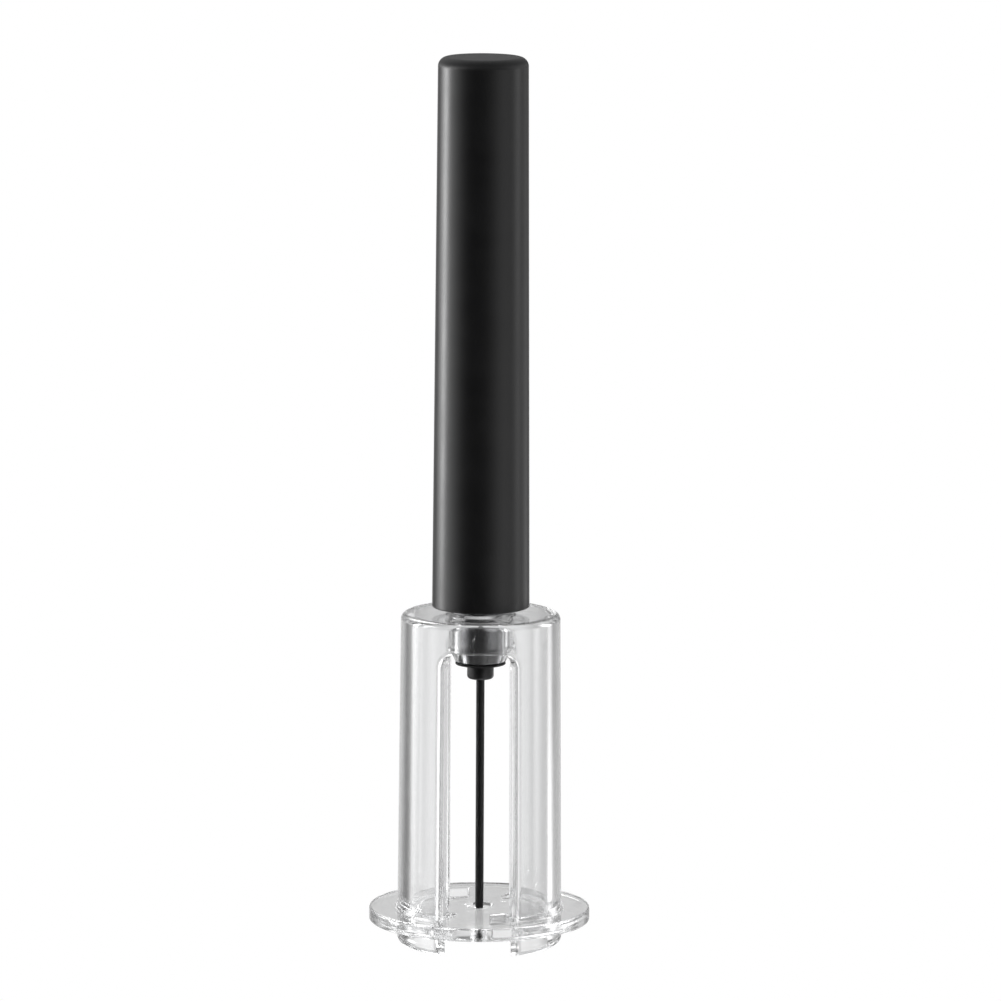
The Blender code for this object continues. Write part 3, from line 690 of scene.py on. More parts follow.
def coil_tree():
    """A wire that winds round the Z axis, with closed turns at both ends."""
    tree = bpy.data.node_groups.new("coil", "GeometryNodeTree")
    tree.interface.new_socket("Geometry", in_out="OUTPUT", socket_type="NodeSocketGeometry")
    for label, kind in (("Turns", "Float"), ("Closed Turns", "Float"), ("Coil Radius", "Float"),
                        ("Wire Radius", "Float"), ("Bottom", "Float"), ("Height", "Float"),
                        ("Points", "Int"), ("Sides", "Int"), ("Material", "Material")):
        tree.interface.new_socket(label, in_out="INPUT", socket_type="NodeSocket" + kind)
    asked = tree.nodes.new("NodeGroupInput").outputs
    turns, closed, reach = asked["Turns"], asked["Closed Turns"], asked["Coil Radius"]
    spiral = add(tree, "GeometryNodeCurveSpiral", {
        "Rotations": turns, "Start Radius": reach, "End Radius": reach, "Height": 0.0})
    resampled = add(tree, "GeometryNodeResampleCurve", {"Curve": spiral.outputs[0], "Count": asked["Points"]})
    turn = calculate("MULTIPLY", add(tree, "GeometryNodeSplineParameter").outputs["Factor"], turns)
    wire = calculate("MULTIPLY", asked["Wire Radius"], 2.0)
    closed_rise = calculate("MULTIPLY", wire, closed)
    low_part = calculate("MULTIPLY", calculate("MINIMUM", turn, closed), wire)
    open_end = calculate("SUBTRACT", turns, closed)
    past_open = calculate("MAXIMUM", calculate("SUBTRACT", turn, open_end), 0.0)
    high_part = calculate("MULTIPLY", past_open, wire)
    open_rise = calculate("SUBTRACT", asked["Height"], calculate("MULTIPLY", closed_rise, 2.0))
    middle = add(tree, "ShaderNodeMapRange", {"Value": turn, "From Min": closed, "From Max": open_end,
                                              "To Min": 0.0, "To Max": open_rise})
    height = calculate("ADD", calculate("ADD", low_part, middle.outputs[0]), high_part)
    lifted = add(tree, "ShaderNodeCombineXYZ", {"Z": calculate("ADD", height, asked["Bottom"])})
    placed_wire = add(tree, "GeometryNodeSetPosition", {
        "Geometry": resampled.outputs[0], "Offset": lifted.outputs[0]})
    level_wire = add(tree, "GeometryNodeSetCurveNormal", {"Curve": placed_wire.outputs[0]}, mode="Z_UP")
    section = add(tree, "GeometryNodeCurvePrimitiveCircle", {
        "Resolution": asked["Sides"], "Radius": asked["Wire Radius"]})
    swept = add(tree, "GeometryNodeCurveToMesh", {
        "Curve": level_wire.outputs[0], "Profile Curve": section.outputs["Curve"], "Fill Caps": True})
    real = add(tree, "GeometryNodeRealizeInstances", {"Geometry": swept.outputs[0]})
    painted = add(tree, "GeometryNodeSetMaterial", {
        "Geometry": real.outputs[0], "Material": asked["Material"]})
    add(tree, "NodeGroupOutput", {0: painted.outputs[0]})
    return tree


def coil(name, turns, closed, coil_radius, wire_radius, bottom, height, sides, material):
    """A wire wound by the coil tree, as a plain mesh."""
    made = object_from(name, bmesh.new())
    change = made.modifiers.new("coil", "NODES")
    change.node_group = coils
    values = {"Turns": turns, "Closed Turns": closed, "Coil Radius": coil_radius * MM,
              "Wire Radius": wire_radius * MM, "Bottom": bottom * MM, "Height": height * MM,
              "Points": round(turns * COIL_POINTS), "Sides": sides, "Material": material}
    for item in coils.interface.items_tree:
        if item.in_out == "INPUT":
            change[item.identifier] = values[item.name]
    settle(made)
    with editing(made) as shape:
        bmesh.ops.recalc_face_normals(shape, faces=shape.faces)
    return made


def thread(name, shank_radius, bottom, top, slot):
    """The ridge of a screw thread, half sunk in its shank and short of both its ends."""
    bottom, top = bottom + THREAD_END, top - THREAD_END
    turns = (top - bottom) / THREAD_PITCH
    made = coil(name, turns, 0.0, shank_radius, THREAD_DEPTH, bottom, top - bottom, THREAD_SIDES,
                finishes[slot])
    finish(made, slot, "base")


def air_needle():
    radius, tip, top = extent("needle")
    bore_end = tip + NEEDLE_TIP_LENGTH
    made = turned("air_needle", [
        (0, bore_end),
        (NEEDLE_BORE_RADIUS, bore_end + NEEDLE_BORE_RADIUS),
        (NEEDLE_BORE_RADIUS, top),
        (radius, top),
        (radius, bore_end, NEEDLE_TIP_FILLET),
        (0, tip),
    ], FINE_TURN_STEPS)
    vent_height = bore_end + 3 * VENT_RADIUS + NEEDLE_BORE_RADIUS
    opening = [(across, vent_height + VENT_STRETCH * up)
               for across, up in circle(VENT_RADIUS, HOLE_STEPS)]
    combine(made, "DIFFERENCE",
            layered("vent", [(0, opening), (2 * radius, opening)], lambda across, up, out: (out, across, up)))
    finish(made, "needle_coating", "base", "needle")


def needle_hub():
    radius, bottom, top = extent("needle_hub")
    socket = radius_of("needle") + GAP
    socket_top = high("needle") + GAP
    shank = SPIGOT_RADIUS - THREAD_DEPTH
    made = turned("hub_of_needle", [
        (SPRING_POCKET_RADIUS, top),
        (shank, top, BROKEN_EDGE),
        (shank, HUB_TOP),
        (radius, HUB_TOP, SEAT_EDGE),
        (radius, bottom, HUB_FILLET),
        (socket, bottom, TURNED_EDGE),
        (socket, socket_top),
        (HUB_PASSAGE_RADIUS, socket_top),
        (HUB_PASSAGE_RADIUS, SPRING_FLOOR),
        (SPRING_POCKET_RADIUS, SPRING_FLOOR),
    ])
    thread("hub_thread", shank, HUB_TOP, top, "black_plastic")
    finish(made, "black_plastic", "base", "needle_hub")


def washer_and_gasket():
    ring("hub_washer", "sealing_washer", SPIGOT_RADIUS + GAP, "black_rubber", "base", FINE_EDGE)
    ring("rod_end_gasket", "rod_gasket", GASKET_BORE_RADIUS, "black_rubber", "base", FINE_EDGE)


def mounting_sleeve():
    radius, bottom, top = extent("mounting_sleeve")
    made = turned("flanged_sleeve", [
        (ROD_SOCKET_RADIUS, top, TURNED_EDGE),
        (radius, top, BROKEN_EDGE),
        (radius, FLANGE_BOTTOM, BROKEN_EDGE),
        (SLEEVE_RADIUS, FLANGE_BOTTOM),
        (SLEEVE_RADIUS, bottom, BROKEN_EDGE),
        (SPIGOT_RADIUS + GAP, bottom, TURNED_EDGE),
        (SPIGOT_RADIUS + GAP, SOCKET_FLOOR),
        (ROD_SOCKET_RADIUS, SOCKET_FLOOR),
    ], TURN_STEPS)
    finish(made, "polished_steel", "base", "mounting_sleeve")


def check_valve():
    radius, bottom, top = extent("valve_seat")
    seat = turned("valve_seat_ring", [
        (SEAT_HOLE_RADIUS, top, TURNED_EDGE),
        (radius, top, TURNED_EDGE),
        (radius, bottom, TURNED_EDGE),
        (SEAT_HOLE_RADIUS + SEAT_CHAMFER, bottom),
        (SEAT_HOLE_RADIUS, bottom + SEAT_CHAMFER, TURNED_EDGE),
    ])
    finish(seat, "brass", "base", "valve_seat")
    bottom, top = low("valve_ball"), high("valve_ball")
    half_circle = bead(0.0, (top + bottom) / 2, (top - bottom) / 2,
                       FINE_TURN_STEPS, FINE_TURN_STEPS // 2 + 1)
    finish(turned("check_ball", half_circle, FINE_TURN_STEPS), "spring_steel", "ball", "valve_ball")
    radius, bottom, top = extent("valve_spring")
    wire = SPRING_WIRE_RADIUS
    spring = coil("check_spring", SPRING_TURNS, SPRING_CLOSED_TURNS, radius - wire, wire,
                  bottom + wire, top - bottom - 2 * wire, SPRING_WIRE_SIDES, finishes["spring_steel"])
    finish(spring, "spring_steel", "base", "valve_spring")
    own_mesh(spring)


# ---------------------------------------------------------------- rod and piston

def rod_and_bumper():
    ring("pump_rod", "piston_rod", ROD_BORE_RADIUS, "rod_steel", "base", BROKEN_EDGE, TURN_STEPS)
    ring("foot_bumper", "bumper_ring", ROD_SOCKET_RADIUS, "black_rubber", "base", SEAT_EDGE)


def piston_and_seal():
    radius, bottom, top = extent("piston_head")
    groove_bottom = bottom + PISTON_LAND
    groove_top = groove_bottom + PISTON_GROOVE_LENGTH
    groove = (ROD_SOCKET_RADIUS + radius) / 2
    rod_seat = top - PISTON_HEAD_THICKNESS
    piston = turned("pump_piston", [
        (ROD_BORE_RADIUS, top, TURNED_EDGE),
        (radius, top, SOFT_EDGE),
        (radius, groove_top, CLEAN_EDGE),
        (groove, groove_top, CLEAN_EDGE),
        (groove, groove_bottom, CLEAN_EDGE),
        (radius, groove_bottom, CLEAN_EDGE),
        (radius, bottom, SOFT_EDGE),
        (ROD_SOCKET_RADIUS, bottom, BROKEN_EDGE),
        (ROD_SOCKET_RADIUS, rod_seat),
        (ROD_BORE_RADIUS, rod_seat),
    ])
    finish(piston, "white_plastic", "base", "piston_head")
    outer, cup_bottom, cup_top = extent("piston_cup_seal")
    inner = groove + SEAL_GAP
    lip = (outer - inner) / 3
    cup = turned("cup_seal", [
        (outer - lip, cup_top, SHARP_EDGE),
        (outer, cup_top, SHARP_EDGE),
        (radius, cup_bottom, CLEAN_EDGE),
        (inner, cup_bottom, FINE_EDGE),
        (inner, cup_top, SHARP_EDGE),
        (inner + lip, cup_top, SHARP_EDGE),
        ((inner + outer) / 2, cup_bottom + CUP_BASE, CLEAN_EDGE),
    ])
    finish(cup, "black_rubber", "base", "piston_cup_seal")


def piston_screw():
    radius, bottom, top = extent("piston_screw")
    shank = ROD_BORE_RADIUS - GAP - THREAD_DEPTH
    head = top - SCREW_FLANGE_THICKNESS
    made = turned("rod_screw", [
        (SCREW_BORE_RADIUS, top, TURNED_EDGE),
        (radius, top, BROKEN_EDGE),
        (radius, head, FINE_EDGE),
        (shank, head, FINE_EDGE),
        (shank, bottom, BROKEN_EDGE),
        (SCREW_BORE_RADIUS, bottom, TURNED_EDGE),
    ])
    reach, half = radius + CUT_PAST, SCREW_SLOT_WIDTH / 2
    combine(made, "DIFFERENCE", block("screwdriver_slot", (-reach, -half, top - SCREW_SLOT_DEPTH),
                                      (reach, half, top + CUT_PAST)))
    finish(made, "brass", "base", "piston_screw")
    thread("rod_screw_thread", shank, bottom, head, "brass")


# ---------------------------------------------------------------- handle and pump barrel

def pump_handle():
    made = turned("pump_handle", [
        (0, HANDLE_TOP),
        (HANDLE_TOP_RADIUS, HANDLE_TOP, HANDLE_TOP_FILLET),
        (HANDLE_FOOT_RADIUS, HANDLE_BOTTOM, HANDLE_EDGE),
        (HANDLE_FOOT_RADIUS - HANDLE_WALL, HANDLE_BOTTOM, HANDLE_EDGE),
        (handle_radius(HANDLE_CEILING) - HANDLE_WALL, HANDLE_CEILING, SOFT_EDGE),
        (0, HANDLE_CEILING),
    ], TURN_STEPS)
    finish(made, "handle_plastic", "handle", "handle_shell")


def pump_barrel():
    ring("air_barrel", "pump_barrel", BARREL_BORE_RADIUS, "barrel_aluminium", "handle",
         CLEAN_EDGE, TURN_STEPS)
    radius, spigot = radius_of("pump_barrel"), BARREL_BORE_RADIUS - GAP
    bottom, top = low("barrel_plug"), high("barrel_plug")
    shoulder = top - PLUG_FLANGE_THICKNESS
    section = (high("plug_o_ring") - low("plug_o_ring")) / 2
    ring_centre = radius_of("plug_o_ring") - section
    groove = ring_centre - section - SEAL_GAP
    groove_top = shoulder - O_RING_SHOULDER
    groove_bottom = groove_top - 2 * (section + SEAL_GAP)
    plug = turned("barrel_end_plug", [
        (0, top),
        (radius, top, SOFT_EDGE),
        (radius, shoulder, FINE_EDGE),
        (spigot, shoulder, SHARP_EDGE),
        (spigot, groove_top, FINE_EDGE),
        (groove, groove_top, FINE_EDGE),
        (groove, groove_bottom, FINE_EDGE),
        (spigot, groove_bottom, FINE_EDGE),
        (spigot, bottom, SOFT_EDGE),
        (0, bottom),
    ])
    finish(plug, "white_plastic", "handle", "barrel_plug")
    seal = turned("plug_seal_ring", bead(ring_centre, (groove_top + groove_bottom) / 2, section,
                                         HOLE_STEPS, HOLE_STEPS))
    finish(seal, "black_rubber", "handle", "plug_o_ring")


def guide_bush():
    radius, bottom, top = extent("guide_bush")
    spigot = BARREL_BORE_RADIUS - GAP
    shoulder = bottom + BUSH_FLANGE_THICKNESS
    groove_bottom, groove_top = low("rod_wiper") - SEAL_GAP, high("rod_wiper") + SEAL_GAP
    groove = radius_of("rod_wiper") + SEAL_GAP
    bush = turned("rod_bush", [
        (ROD_SOCKET_RADIUS, top, SOFT_EDGE),
        (spigot, top, SOFT_EDGE),
        (spigot, shoulder, FINE_EDGE),
        (radius, shoulder, CLEAN_EDGE),
        (radius, bottom, BROKEN_EDGE),
        (ROD_SOCKET_RADIUS, bottom, BROKEN_EDGE),
        (ROD_SOCKET_RADIUS, groove_bottom),
        (groove, groove_bottom),
        (groove, groove_top),
        (ROD_SOCKET_RADIUS, groove_top),
    ])
    finish(bush, "white_plastic", "handle", "guide_bush")
    ring("wiper_ring", "rod_wiper", radius_of("piston_rod") + SEAL_GAP, "black_rubber", "wiper", BROKEN_EDGE)


def snap_ring():
    """The open spring ring under the bush, with an eye at each of its ends for the pliers."""
    outer, bottom, top = extent("bush_snap_ring")
    inner = outer - CLIP_WIDTH
    half = math.asin(CLIP_OPENING / 2 / outer)
    eye_turn = half + (EAR_RADIUS + EAR_END_GAP) / inner
    eye_reach = inner - EAR_INSET
    outline = (arc(outer, half, 2 * math.pi - half, CLIP_SPACING)
               + arc(inner, 2 * math.pi - half, half, CLIP_SPACING))
    made = plate("bush_clip", outline, bottom, top)
    eyes = [(eye_reach * math.cos(turn), eye_reach * math.sin(turn)) for turn in (eye_turn, -eye_turn)]
    combine(made, "UNION", *[plate("ear", circle(EAR_RADIUS, EAR_STEPS, eye), bottom, top) for eye in eyes])
    combine(made, "DIFFERENCE", *[plate("eye", circle(EAR_HOLE_RADIUS, HOLE_STEPS, eye),
                                        bottom - CUT_PAST, top + CUT_PAST) for eye in eyes])
    round_edges(made, CLIP_EDGE, CLIP_EDGE_STEPS, lambda edge: edge.calc_face_angle(0) > SHARP_ANGLE)
    finish(made, "spring_steel", "handle", "bush_snap_ring")


# ---------------------------------------------------------------- shader node groups

def noise(place, scale, detail, **more):
    """Noise at a place of the surface."""
    return add(place.id_data, "ShaderNodeTexNoise",
               {"Vector": place, "Scale": scale, "Detail": detail, **more}).outputs[0]


def mix_tones(first, second, share):
    """Adds two tones, the first with its share and the second with the rest."""
    return calculate("ADD", calculate("MULTIPLY", first, share), calculate("MULTIPLY", second, 1 - share))


def moulded_grain():
    """Fine grain of a moulded or rubber surface, with slow drifts in its tone."""
    tree, asked = new_group("moulded_grain", (("Vector", None), ("Grain Size", 0.2)), ("Height", "Tone"))
    scale = calculate("DIVIDE", 1000.0, asked["Grain Size"])
    fine = noise(asked["Vector"], scale, 3.0, Roughness=0.6)
    broad = noise(asked["Vector"], calculate("DIVIDE", scale, 40.0), 2.0)
    add(tree, "NodeGroupOutput", {"Height": fine, "Tone": mix_tones(fine, broad, 0.35)})
    return tree


def turning_marks():
    """Fine rings left by a lathe or a grinding wheel, round the Z axis and across end faces."""
    tree, asked = new_group("turning_marks", (("Vector", None), ("Ring Spacing", 0.1)), ("Height", "Tone"))
    parts = add(tree, "ShaderNodeSeparateXYZ", {0: asked["Vector"]}).outputs
    flat = add(tree, "ShaderNodeVectorMath", {0: asked["Vector"], 1: (1.0, 1.0, 0.0)}, operation="MULTIPLY")
    reach = add(tree, "ShaderNodeVectorMath", {0: flat.outputs[0]}, operation="LENGTH").outputs["Value"]
    along = calculate("MULTIPLY", calculate("ADD", parts["Z"], reach), 1000.0)
    place = calculate("DIVIDE", along, asked["Ring Spacing"])
    rings, bands = [add(tree, "ShaderNodeTexNoise", {"W": place, "Scale": scale, "Detail": detail},
                        noise_dimensions="1D").outputs[0] for scale, detail in ((1.0, 2.0), (0.06, 1.0))]
    add(tree, "NodeGroupOutput", {"Height": rings, "Tone": mix_tones(rings, bands, 0.5)})
    return tree


def drawn_streaks():
    """Long streaks along Z, as on a drawn tube or along the flow of moulded plastic."""
    tree, asked = new_group("drawn_streaks", (("Vector", None), ("Width", 0.3), ("Stretch", 30.0)),
                            ("Height", "Tone"))
    squeeze = calculate("DIVIDE", 1.0, asked["Stretch"])
    stretch = add(tree, "ShaderNodeCombineXYZ", {"X": 1.0, "Y": 1.0, "Z": squeeze}).outputs[0]
    drawn = add(tree, "ShaderNodeVectorMath", {0: asked["Vector"], 1: stretch}, operation="MULTIPLY")
    scale = calculate("DIVIDE", 1000.0, asked["Width"])
    streaks = noise(drawn.outputs[0], scale, 3.0)
    broad = noise(drawn.outputs[0], calculate("DIVIDE", scale, 8.0), 1.0)
    add(tree, "NodeGroupOutput", {"Height": streaks, "Tone": mix_tones(streaks, broad, 0.5)})
    return tree


def handling_marks():
    """Faint smudges left by hands, 0 on clean places and up to 1 in the smudges."""
    tree, asked = new_group("handling_marks", (("Vector", None), ("Smudge Size", 9.0)), ("Mask",))
    scale = calculate("DIVIDE", 1000.0, asked["Smudge Size"])
    smudges = noise(asked["Vector"], scale, 4.0, Roughness=0.55, Distortion=0.6)
    mask = add(tree, "ShaderNodeMapRange", {"Value": smudges, "From Min": 0.45, "From Max": 0.75},
               interpolation_type="SMOOTHSTEP")
    add(tree, "NodeGroupOutput", {"Mask": mask.outputs[0]})
    return tree


# ---------------------------------------------------------------- materials

def new_material(name, **constants):
    """A material, its Principled shader with plain values set, and the object coordinates to build on."""
    made = bpy.data.materials.new(name)
    made.use_nodes = True
    shader = made.node_tree.nodes["Principled BSDF"]
    for label, value in constants.items():
        socket = shader.inputs[label.replace("_", " ")]
        socket.default_value = (*value, 1.0) if socket.type == "RGBA" else value
    return made, shader, add(made.node_tree, "ShaderNodeTexCoord").outputs["Object"]


def placed(group, place, **values):
    """A shared group in a material, with this material's own sizes."""
    sizes = {label.replace("_", " "): value for label, value in values.items()}
    return add(place.id_data, "ShaderNodeGroup", {"Vector": place, **sizes}, node_tree=group).outputs


def spread(value, lowest, highest):
    """Maps a tone's usual range between two numbers."""
    return add(value.id_data, "ShaderNodeMapRange", {"Value": value, "From Min": 0.25, "From Max": 0.75,
                                                     "To Min": lowest, "To Max": highest}).outputs[0]


def tint(value, dark, light):
    """Mixes two colours by a tone."""
    share = spread(value, 0.0, 1.0)
    return add(value.id_data, "ShaderNodeMix", {"Factor": share, 6: (*dark, 1.0), 7: (*light, 1.0)},
               data_type="RGBA").outputs[2]


def relief(shader, height, depth):
    """Bump of a depth in millimetres."""
    bump = add(height.id_data, "ShaderNodeBump", {"Strength": 1.0, "Distance": depth * MM, "Height": height})
    link(bump.outputs[0], shader.inputs["Normal"])


def dress(shader, pattern, dark, light, smoothest, roughest, depth, rougher=()):
    """Gives a shader a pattern's colours, roughness and relief. Each (mask, amount) makes it rougher."""
    link(tint(pattern["Tone"], dark, light), shader.inputs["Base Color"])
    rough = spread(pattern["Tone"], smoothest, roughest)
    for mask, amount in rougher:
        rough = calculate("ADD", rough, calculate("MULTIPLY", mask, amount))
    link(rough, shader.inputs["Roughness"])
    relief(shader, pattern["Height"], depth)


def clear_polycarbonate():
    made, shader, place = new_material("clear_polycarbonate", Base_Color=(0.95, 0.952, 0.955),
                                       IOR=1.585, Transmission_Weight=1.0)
    marks = placed(hand_group, place, Smudge_Size=7.0)
    flow = placed(streak_group, place, Width=3.0, Stretch=4.0)
    link(spread(marks["Mask"], 0.05, 0.09), shader.inputs["Roughness"])
    relief(shader, flow["Height"], 0.01)
    return made


def satin_black_plastic():
    """The handle's plastic, matt at its closed end."""
    made, shader, place = new_material("satin_black_plastic", IOR=1.5)
    grain = placed(grain_group, place, Grain_Size=0.16)
    marks = placed(hand_group, place, Smudge_Size=16.0)
    tree = place.id_data
    matt_end = add(tree, "ShaderNodeMapRange", {
        "Value": add(tree, "ShaderNodeSeparateXYZ", {0: place}).outputs["Z"],
        "From Min": (HANDLE_TOP - MATT_BEGINS * HANDLE_TOP_FILLET) * MM,
        "From Max": (HANDLE_TOP - MATT_WHOLE * HANDLE_TOP_FILLET) * MM}, interpolation_type="SMOOTHSTEP")
    dress(shader, grain, (0.0065, 0.0065, 0.007), (0.0105, 0.0105, 0.011), 0.3, 0.36, 0.004,
          [(marks["Mask"], 0.03), (matt_end.outputs[0], 0.6)])
    return made


def grained_black(name, ior, grain_size, *look):
    """A black plastic, coating or rubber with a fine grain."""
    made, shader, place = new_material(name, IOR=ior)
    dress(shader, placed(grain_group, place, Grain_Size=grain_size), *look)
    return made


def turned_metal(name, ring_spacing, *look):
    """A metal with rings from its turning or grinding."""
    made, shader, place = new_material(name, Metallic=1.0)
    rings = placed(ring_group, place, Ring_Spacing=ring_spacing)
    marks = placed(hand_group, place, Smudge_Size=5.0)
    dress(shader, rings, *look, [(marks["Mask"], 0.05)])
    return made


def drawn_aluminium():
    made, shader, place = new_material("drawn_aluminium", Metallic=1.0)
    streaks = placed(streak_group, place, Width=0.25, Stretch=60.0)
    dress(shader, streaks, (0.66, 0.665, 0.675), (0.78, 0.785, 0.79), 0.28, 0.42, 0.004)
    return made


def natural_acetal():
    made, shader, place = new_material("natural_acetal", IOR=1.48, Subsurface_Weight=0.15,
                                       Subsurface_Radius=(1.0, 0.95, 0.85), Subsurface_Scale=0.0008)
    rings = placed(ring_group, place, Ring_Spacing=0.18)
    dress(shader, rings, (0.76, 0.76, 0.73), (0.82, 0.82, 0.8), 0.35, 0.5, 0.004)
    return made


# ---------------------------------------------------------------- studio

def grey(level):
    return level, level, level, 1.0


def studio_room():
    """Brightness of the studio in a direction: soft lights in a dim room."""
    tree, asked = new_group("studio_room", (("Direction", None),), ("Brightness",))
    level = ROOM_DIM
    for turn, rise, tight, bright in ROOM_LIGHTS:
        turn, rise = math.radians(turn), math.radians(rise)
        way = (math.sin(turn) * math.cos(rise), -math.cos(turn) * math.cos(rise), math.sin(rise))
        near = add(tree, "ShaderNodeVectorMath", {0: asked["Direction"], 1: way}, operation="DOT_PRODUCT")
        glow = calculate("SUBTRACT", near.outputs["Value"], 1.0)
        glow = calculate("EXPONENT", calculate("MULTIPLY", glow, tight))
        level = calculate("ADD", calculate("MULTIPLY", glow, bright), level)
    add(tree, "NodeGroupOutput", {"Brightness": level})
    return tree


def backdrop(ray, room):
    """The room's brightness, which is never below a pale level straight through the clear plastic."""
    straight = calculate("LESS_THAN", ray["Glossy Depth"], 0.5)
    least = calculate("ADD", calculate("MULTIPLY", straight, STRAIGHT_LEAST), BACKDROP_LEAST)
    least = calculate("MULTIPLY", ray["Is Transmission Ray"], least)
    return calculate("MAXIMUM", room.outputs["Brightness"], least)


def studio_floor():
    """A pale floor with the opener's shadow. Reflections and the clear plastic see the room in its place."""
    shape = bmesh.new()
    bmesh.ops.create_grid(shape, x_segments=8, y_segments=8, size=1.0)
    bmesh.ops.scale(shape, vec=(FLOOR_HALF_WIDTH, (FLOOR_BACK + FLOOR_FRONT) / 2, 1), verts=shape.verts)
    bmesh.ops.translate(shape, vec=(0, (FLOOR_BACK - FLOOR_FRONT) / 2, 0), verts=shape.verts)
    floor = object_from("studio_floor", shape)
    made = bpy.data.materials.new("pale_floor")
    made.use_nodes = True
    tree = made.node_tree
    tree.nodes.clear()
    ray = add(tree, "ShaderNodeLightPath").outputs
    place = add(tree, "ShaderNodeTexCoord").outputs["Object"]
    way = add(tree, "ShaderNodeVectorMath", {0: place, 1: (0, 0, ROOM_EYE)}, operation="SUBTRACT")
    way = add(tree, "ShaderNodeVectorMath", {0: way.outputs[0]}, operation="NORMALIZE")
    room = add(tree, "ShaderNodeGroup", {"Direction": way.outputs[0]}, node_tree=room_group)
    matt = add(tree, "ShaderNodeBsdfDiffuse", {"Color": grey(FLOOR_MATT)})
    shade = add(tree, "ShaderNodeBsdfDiffuse", {"Color": grey(FLOOR_SHADE)})
    glow = add(tree, "ShaderNodeEmission", {"Color": grey(1.0), "Strength": FLOOR_GLOW})
    pale = add(tree, "ShaderNodeAddShader", {0: shade.outputs[0], 1: glow.outputs[0]})
    seen = calculate("MAXIMUM", ray["Is Glossy Ray"], ray["Is Transmission Ray"])
    through = add(tree, "ShaderNodeEmission", {"Color": backdrop(ray, room), "Strength": 1.0})
    mix = add(tree, "ShaderNodeMixShader", {0: seen, 1: matt.outputs[0], 2: through.outputs[0]})
    mix = add(tree, "ShaderNodeMixShader", {0: ray["Is Camera Ray"], 1: mix.outputs[0], 2: pale.outputs[0]})
    add(tree, "ShaderNodeOutputMaterial", {"Surface": mix.outputs[0]})
    floor.data.materials.append(made)


def studio_world():
    """White to the camera, and the room with its soft lights to everything else."""
    world = bpy.data.worlds.new("studio")
    bpy.context.scene.world = world
    world.use_nodes = True
    tree = world.node_tree
    tree.nodes.clear()
    ray = add(tree, "ShaderNodeLightPath").outputs
    way = add(tree, "ShaderNodeTexCoord").outputs["Generated"]
    room = add(tree, "ShaderNodeGroup", {"Direction": way}, node_tree=room_group)
    lit = add(tree, "ShaderNodeBackground", {"Color": backdrop(ray, room), "Strength": 1.0})
    white = add(tree, "ShaderNodeBackground", {"Color": grey(1.0), "Strength": 1.0})
    mix = add(tree, "ShaderNodeMixShader", {0: ray["Is Camera Ray"], 1: lit.outputs[0], 2: white.outputs[0]})
    add(tree, "ShaderNodeOutputWorld", {"Surface": mix.outputs[0]})


def lamp(name, place, aim, width, height, radiance, reflected=True):
    """A softbox of a size in metres. Its radiance is that of its face."""
    light = bpy.data.lights.new(name, "AREA")
    light.shape = "RECTANGLE"
    light.size, light.size_y = width, height
    light.energy = radiance * width * height * math.pi
    made = bpy.data.objects.new(name, light)
    made.location = place
    made.rotation_euler = (Vector(place) - Vector(aim)).to_track_quat("Z", "Y").to_euler()
    made.visible_glossy = reflected
    made.visible_transmission = False
    made.visible_camera = False
    bpy.context.scene.collection.objects.link(made)


def camera():
    turn = Matrix.Rotation(CAMERA_YAW, 3, "Z")
    back = turn @ Vector((0, -math.cos(CAMERA_PITCH), math.sin(CAMERA_PITCH)))
    side = turn @ Vector((1, 0, 0))
    above = back.cross(side)
    right = side * math.cos(CAMERA_ROLL) + above * math.sin(CAMERA_ROLL)
    top = above * math.cos(CAMERA_ROLL) - side * math.sin(CAMERA_ROLL)
    aim = turn @ Vector((AIM_SIDE, 0, 0)) + Vector((0, 0, AIM_HEIGHT))
    place = (aim + back * CAMERA_DISTANCE) * MM
    data = bpy.data.cameras.new("camera")
    data.sensor_width = CAMERA_SENSOR
    data.lens = CAMERA_LENS
    data.clip_start, data.clip_end = 0.01, 50
    made = bpy.data.objects.new("camera", data)
    made.matrix_world = Matrix.Translation(place) @ Matrix((right, top, back)).transposed().to_4x4()
    bpy.context.scene.collection.objects.link(made)
    bpy.context.scene.camera = made


# ---------------------------------------------------------------- assembly

grain_group = moulded_grain()
ring_group = turning_marks()
streak_group = drawn_streaks()
hand_group = handling_marks()
coils = coil_tree()
room_group = studio_room()

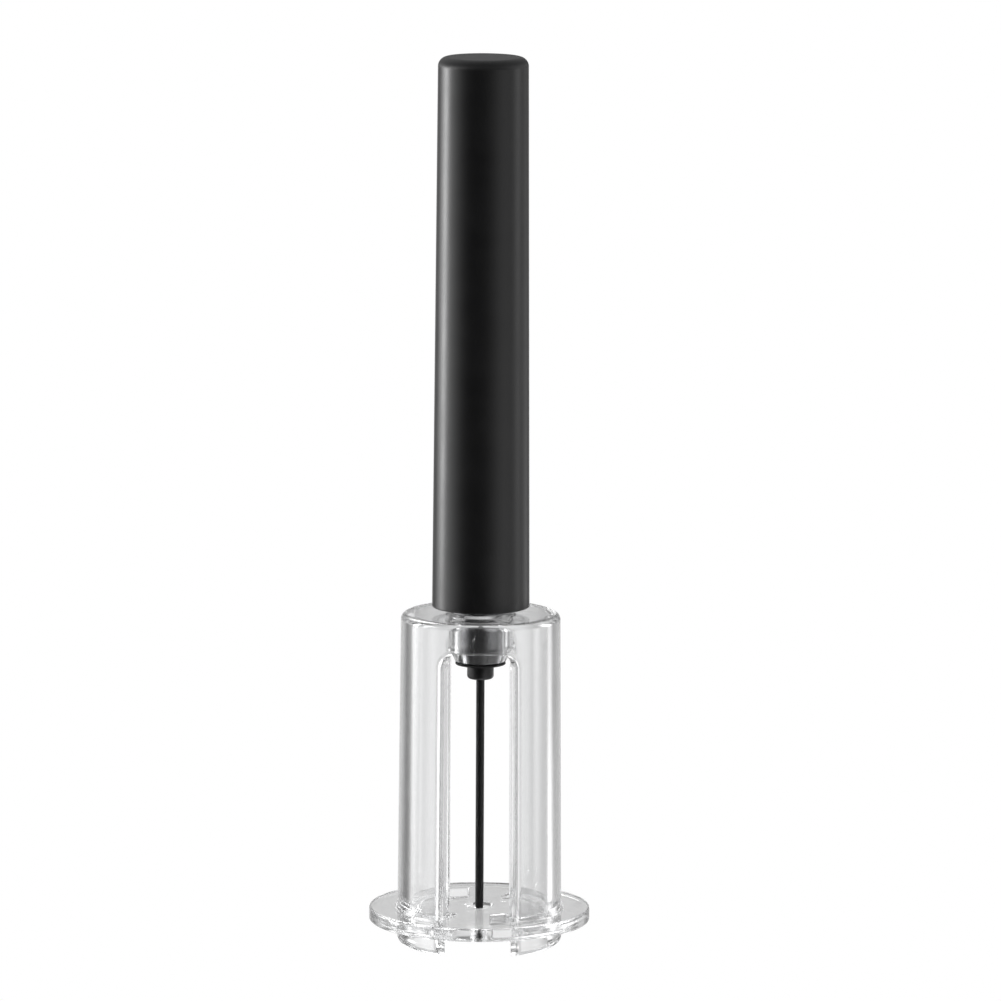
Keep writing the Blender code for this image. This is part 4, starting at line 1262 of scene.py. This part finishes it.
# The finishes by their slots. A pattern's look is its two colours, its two roughnesses and its depth.
finishes = {
    "clear_plastic": clear_polycarbonate(),
    "handle_plastic": satin_black_plastic(),
    "black_plastic": grained_black(
        "black_hub_plastic", 1.49, 0.25, (0.008, 0.008, 0.0085), (0.013, 0.013, 0.0135), 0.28, 0.4, 0.004),
    "needle_coating": grained_black(
        "black_coated_steel", 1.4, 0.08, (0.009, 0.009, 0.009), (0.016, 0.016, 0.0165), 0.32, 0.45, 0.003),
    "black_rubber": grained_black(
        "black_seal_rubber", 1.5, 0.12, (0.012, 0.012, 0.012), (0.022, 0.022, 0.0215), 0.6, 0.8, 0.01),
    "polished_steel": turned_metal(
        "dark_plated_steel", 0.3, (0.17, 0.17, 0.175), (0.23, 0.23, 0.235), 0.1, 0.17, 0.0006),
    "rod_steel": turned_metal(
        "ground_steel", 0.06, (0.6, 0.605, 0.61), (0.68, 0.685, 0.69), 0.16, 0.24, 0.0008),
    "spring_steel": turned_metal(
        "spring_steel", 0.1, (0.5, 0.5, 0.51), (0.62, 0.62, 0.63), 0.2, 0.32, 0.0006),
    "brass": turned_metal(
        "turned_brass", 0.09, (0.68, 0.5, 0.22), (0.78, 0.6, 0.3), 0.18, 0.3, 0.001),
    "white_plastic": natural_acetal(),
    "barrel_aluminium": drawn_aluminium(),
}

clear_frame()
clear_disc()
air_needle()
needle_hub()
washer_and_gasket()
mounting_sleeve()
check_valve()
rod_and_bumper()
piston_and_seal()
piston_screw()
pump_handle()
pump_barrel()
guide_bush()
snap_ring()

studio_floor()
studio_world()
lamp("left_strip", place=(-0.408, 0.102, 0.215), aim=(0, 0, 0.215), width=0.09, height=0.4, radiance=12.0)
lamp("front_fill", place=(0.3, -1.1, 0.7), aim=(0, 0, 0.1), width=0.9, height=0.9, radiance=1.5,
     reflected=False)
camera()

scene = bpy.context.scene
scene.view_settings.view_transform = "Standard"
scene.cycles.max_bounces = 32
scene.cycles.glossy_bounces = 24
scene.cycles.transmission_bounces = 24
